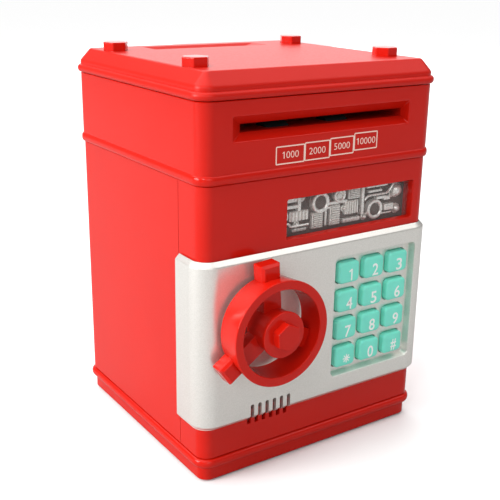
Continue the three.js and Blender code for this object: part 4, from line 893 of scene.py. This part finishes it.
# The spindle, its latch cam, the lock disc and the solenoid that blocks it are inside the door.
finish_nodes(turned_steel, "wheel_spindle", "solenoid_plunger")
finish_nodes(zinc_steel, "latch_cam", "lock_solenoid")
finish_nodes(natural_acetal, "lock_disc")

# ---------- studio ----------
# A plain pale floor under soft lamps: left, a panel behind that the lid reflects, a weak fill in
# front, a small bright one for the edges, a card high at the right and a wide sun above. The floor
# and the surround are white to the camera, and dimmer in what they light and in reflections.
pale_floor, floor_output = new_material("pale_studio_floor")
floor_place = add_node(pale_floor, "ShaderNodeTexCoord")
floor_noise = add_node(pale_floor, "ShaderNodeTexNoise", {"Scale": 3.0}, {"Vector": (floor_place, "Object")})
floor_gloss = add_node(pale_floor, "ShaderNodeMapRange", {"To Min": 0.5, "To Max": 0.6},
                       {"Value": (floor_noise, "Fac")})
floor_seen = add_node(pale_floor, "ShaderNodeLightPath")
floor_tint = add_node(pale_floor, "ShaderNodeMix",
                      {"data_type": "RGBA", 6: linear("#ACACAC"), 7: linear("#F6F6F6")},
                      {0: (floor_seen, "Is Camera Ray")})
floor_shader = add_node(pale_floor, "ShaderNodeBsdfPrincipled", {"Specular IOR Level": 0.0},
                        {"Base Color": (floor_tint, 2), "Roughness": (floor_gloss, "Result")})
pale_floor.node_tree.links.new(floor_shader.outputs[0], floor_output.inputs[0])
floor_mesh = bpy.data.meshes.new("studio_floor")
floor_mesh.from_pydata([(-9, -9, 0), (9, -9, 0), (9, 9, 0), (-9, 9, 0)], [], [(0, 1, 2, 3)])
floor_mesh.materials.append(pale_floor)
studio_floor = bpy.data.objects.new("studio_floor", floor_mesh)
bpy.context.scene.collection.objects.link(studio_floor)


def soft_lamp(name, place, target, size, power):
    """A square area lamp that looks from a place to a target, in metres and watts."""
    lamp = bpy.data.lights.new(name, "AREA")
    lamp.size = size
    lamp.energy = power
    holder = bpy.data.objects.new(name, lamp)
    back = np.subtract(place, target) / np.linalg.norm(np.subtract(place, target))
    right = np.cross((0, 0, 1), back)
    right /= np.linalg.norm(right)
    up = np.cross(back, right)
    matrix = np.eye(4)
    matrix[:3, 0], matrix[:3, 1], matrix[:3, 2], matrix[:3, 3] = right, up, back, place
    holder.matrix_world = matrix.T
    bpy.context.scene.collection.objects.link(holder)


soft_lamp("left_softbox", (-1.2, 0.15, 0.5), (0, 0, 0.09), 0.6, 15)
soft_lamp("back_panel", (1.0, 1.6, 0.85), (0, 0, 0.15), 1.9, 14)
soft_lamp("front_fill", (-0.4, -1.4, 0.7), (0, 0, 0.12), 0.7, 4)
soft_lamp("edge_spark", (-0.95, -0.75, 0.75), (0, 0, 0.1), 0.14, 3)
soft_lamp("high_card", (0.65, -0.4, 1.1), (0, 0, 0.1), 0.8, 3)
sky_panel = bpy.data.lights.new("sky_panel", "SUN")
sky_panel.energy = 2.7
sky_panel.angle = math.radians(75)
sky_holder = bpy.data.objects.new("sky_panel", sky_panel)
sky_holder.rotation_euler = (math.radians(-14), math.radians(-10), 0)
bpy.context.scene.collection.objects.link(sky_holder)
surround = bpy.data.worlds.new("pale_surround")
surround.use_nodes = True
surround_light = surround.node_tree.nodes["Background"]
surround_seen = surround.node_tree.nodes.new("ShaderNodeLightPath")
surround_level = surround.node_tree.nodes.new("ShaderNodeMapRange")
surround_level.inputs["To Min"].default_value = 0.24
surround_level.inputs["To Max"].default_value = 1.0
surround.node_tree.links.new(surround_seen.outputs["Is Camera Ray"], surround_level.inputs["Value"])
surround.node_tree.links.new(surround_level.outputs["Result"], surround_light.inputs["Strength"])
surround_light.inputs["Color"].default_value = linear("#FFFFFF")
bpy.context.scene.world = surround
bpy.context.scene.view_settings.view_transform = "Standard"

# The camera stands a little above the lid, off the left front corner.
azimuth, elevation, roll = np.radians((-34.16, 18.18, 0.94))
back = np.array([math.sin(azimuth) * math.cos(elevation), -math.cos(azimuth) * math.cos(elevation),
                 math.sin(elevation)])
level = np.array([math.cos(azimuth), math.sin(azimuth), 0.0])
rise = np.cross(back, level)
camera_data = bpy.data.cameras.new("camera")
camera_data.sensor_width = 36
camera_data.lens = 62.22
camera_data.clip_start = 0.01
camera = bpy.data.objects.new("camera", camera_data)
view_matrix = np.eye(4)
view_matrix[:3, 0] = math.cos(roll) * level + math.sin(roll) * rise
view_matrix[:3, 1] = -math.sin(roll) * level + math.cos(roll) * rise
view_matrix[:3, 2] = back
view_matrix[:3, 3] = (-0.23542, -0.33791, 0.22220)
camera.matrix_world = view_matrix.T
bpy.context.scene.collection.objects.link(camera)
bpy.context.scene.camera = camera
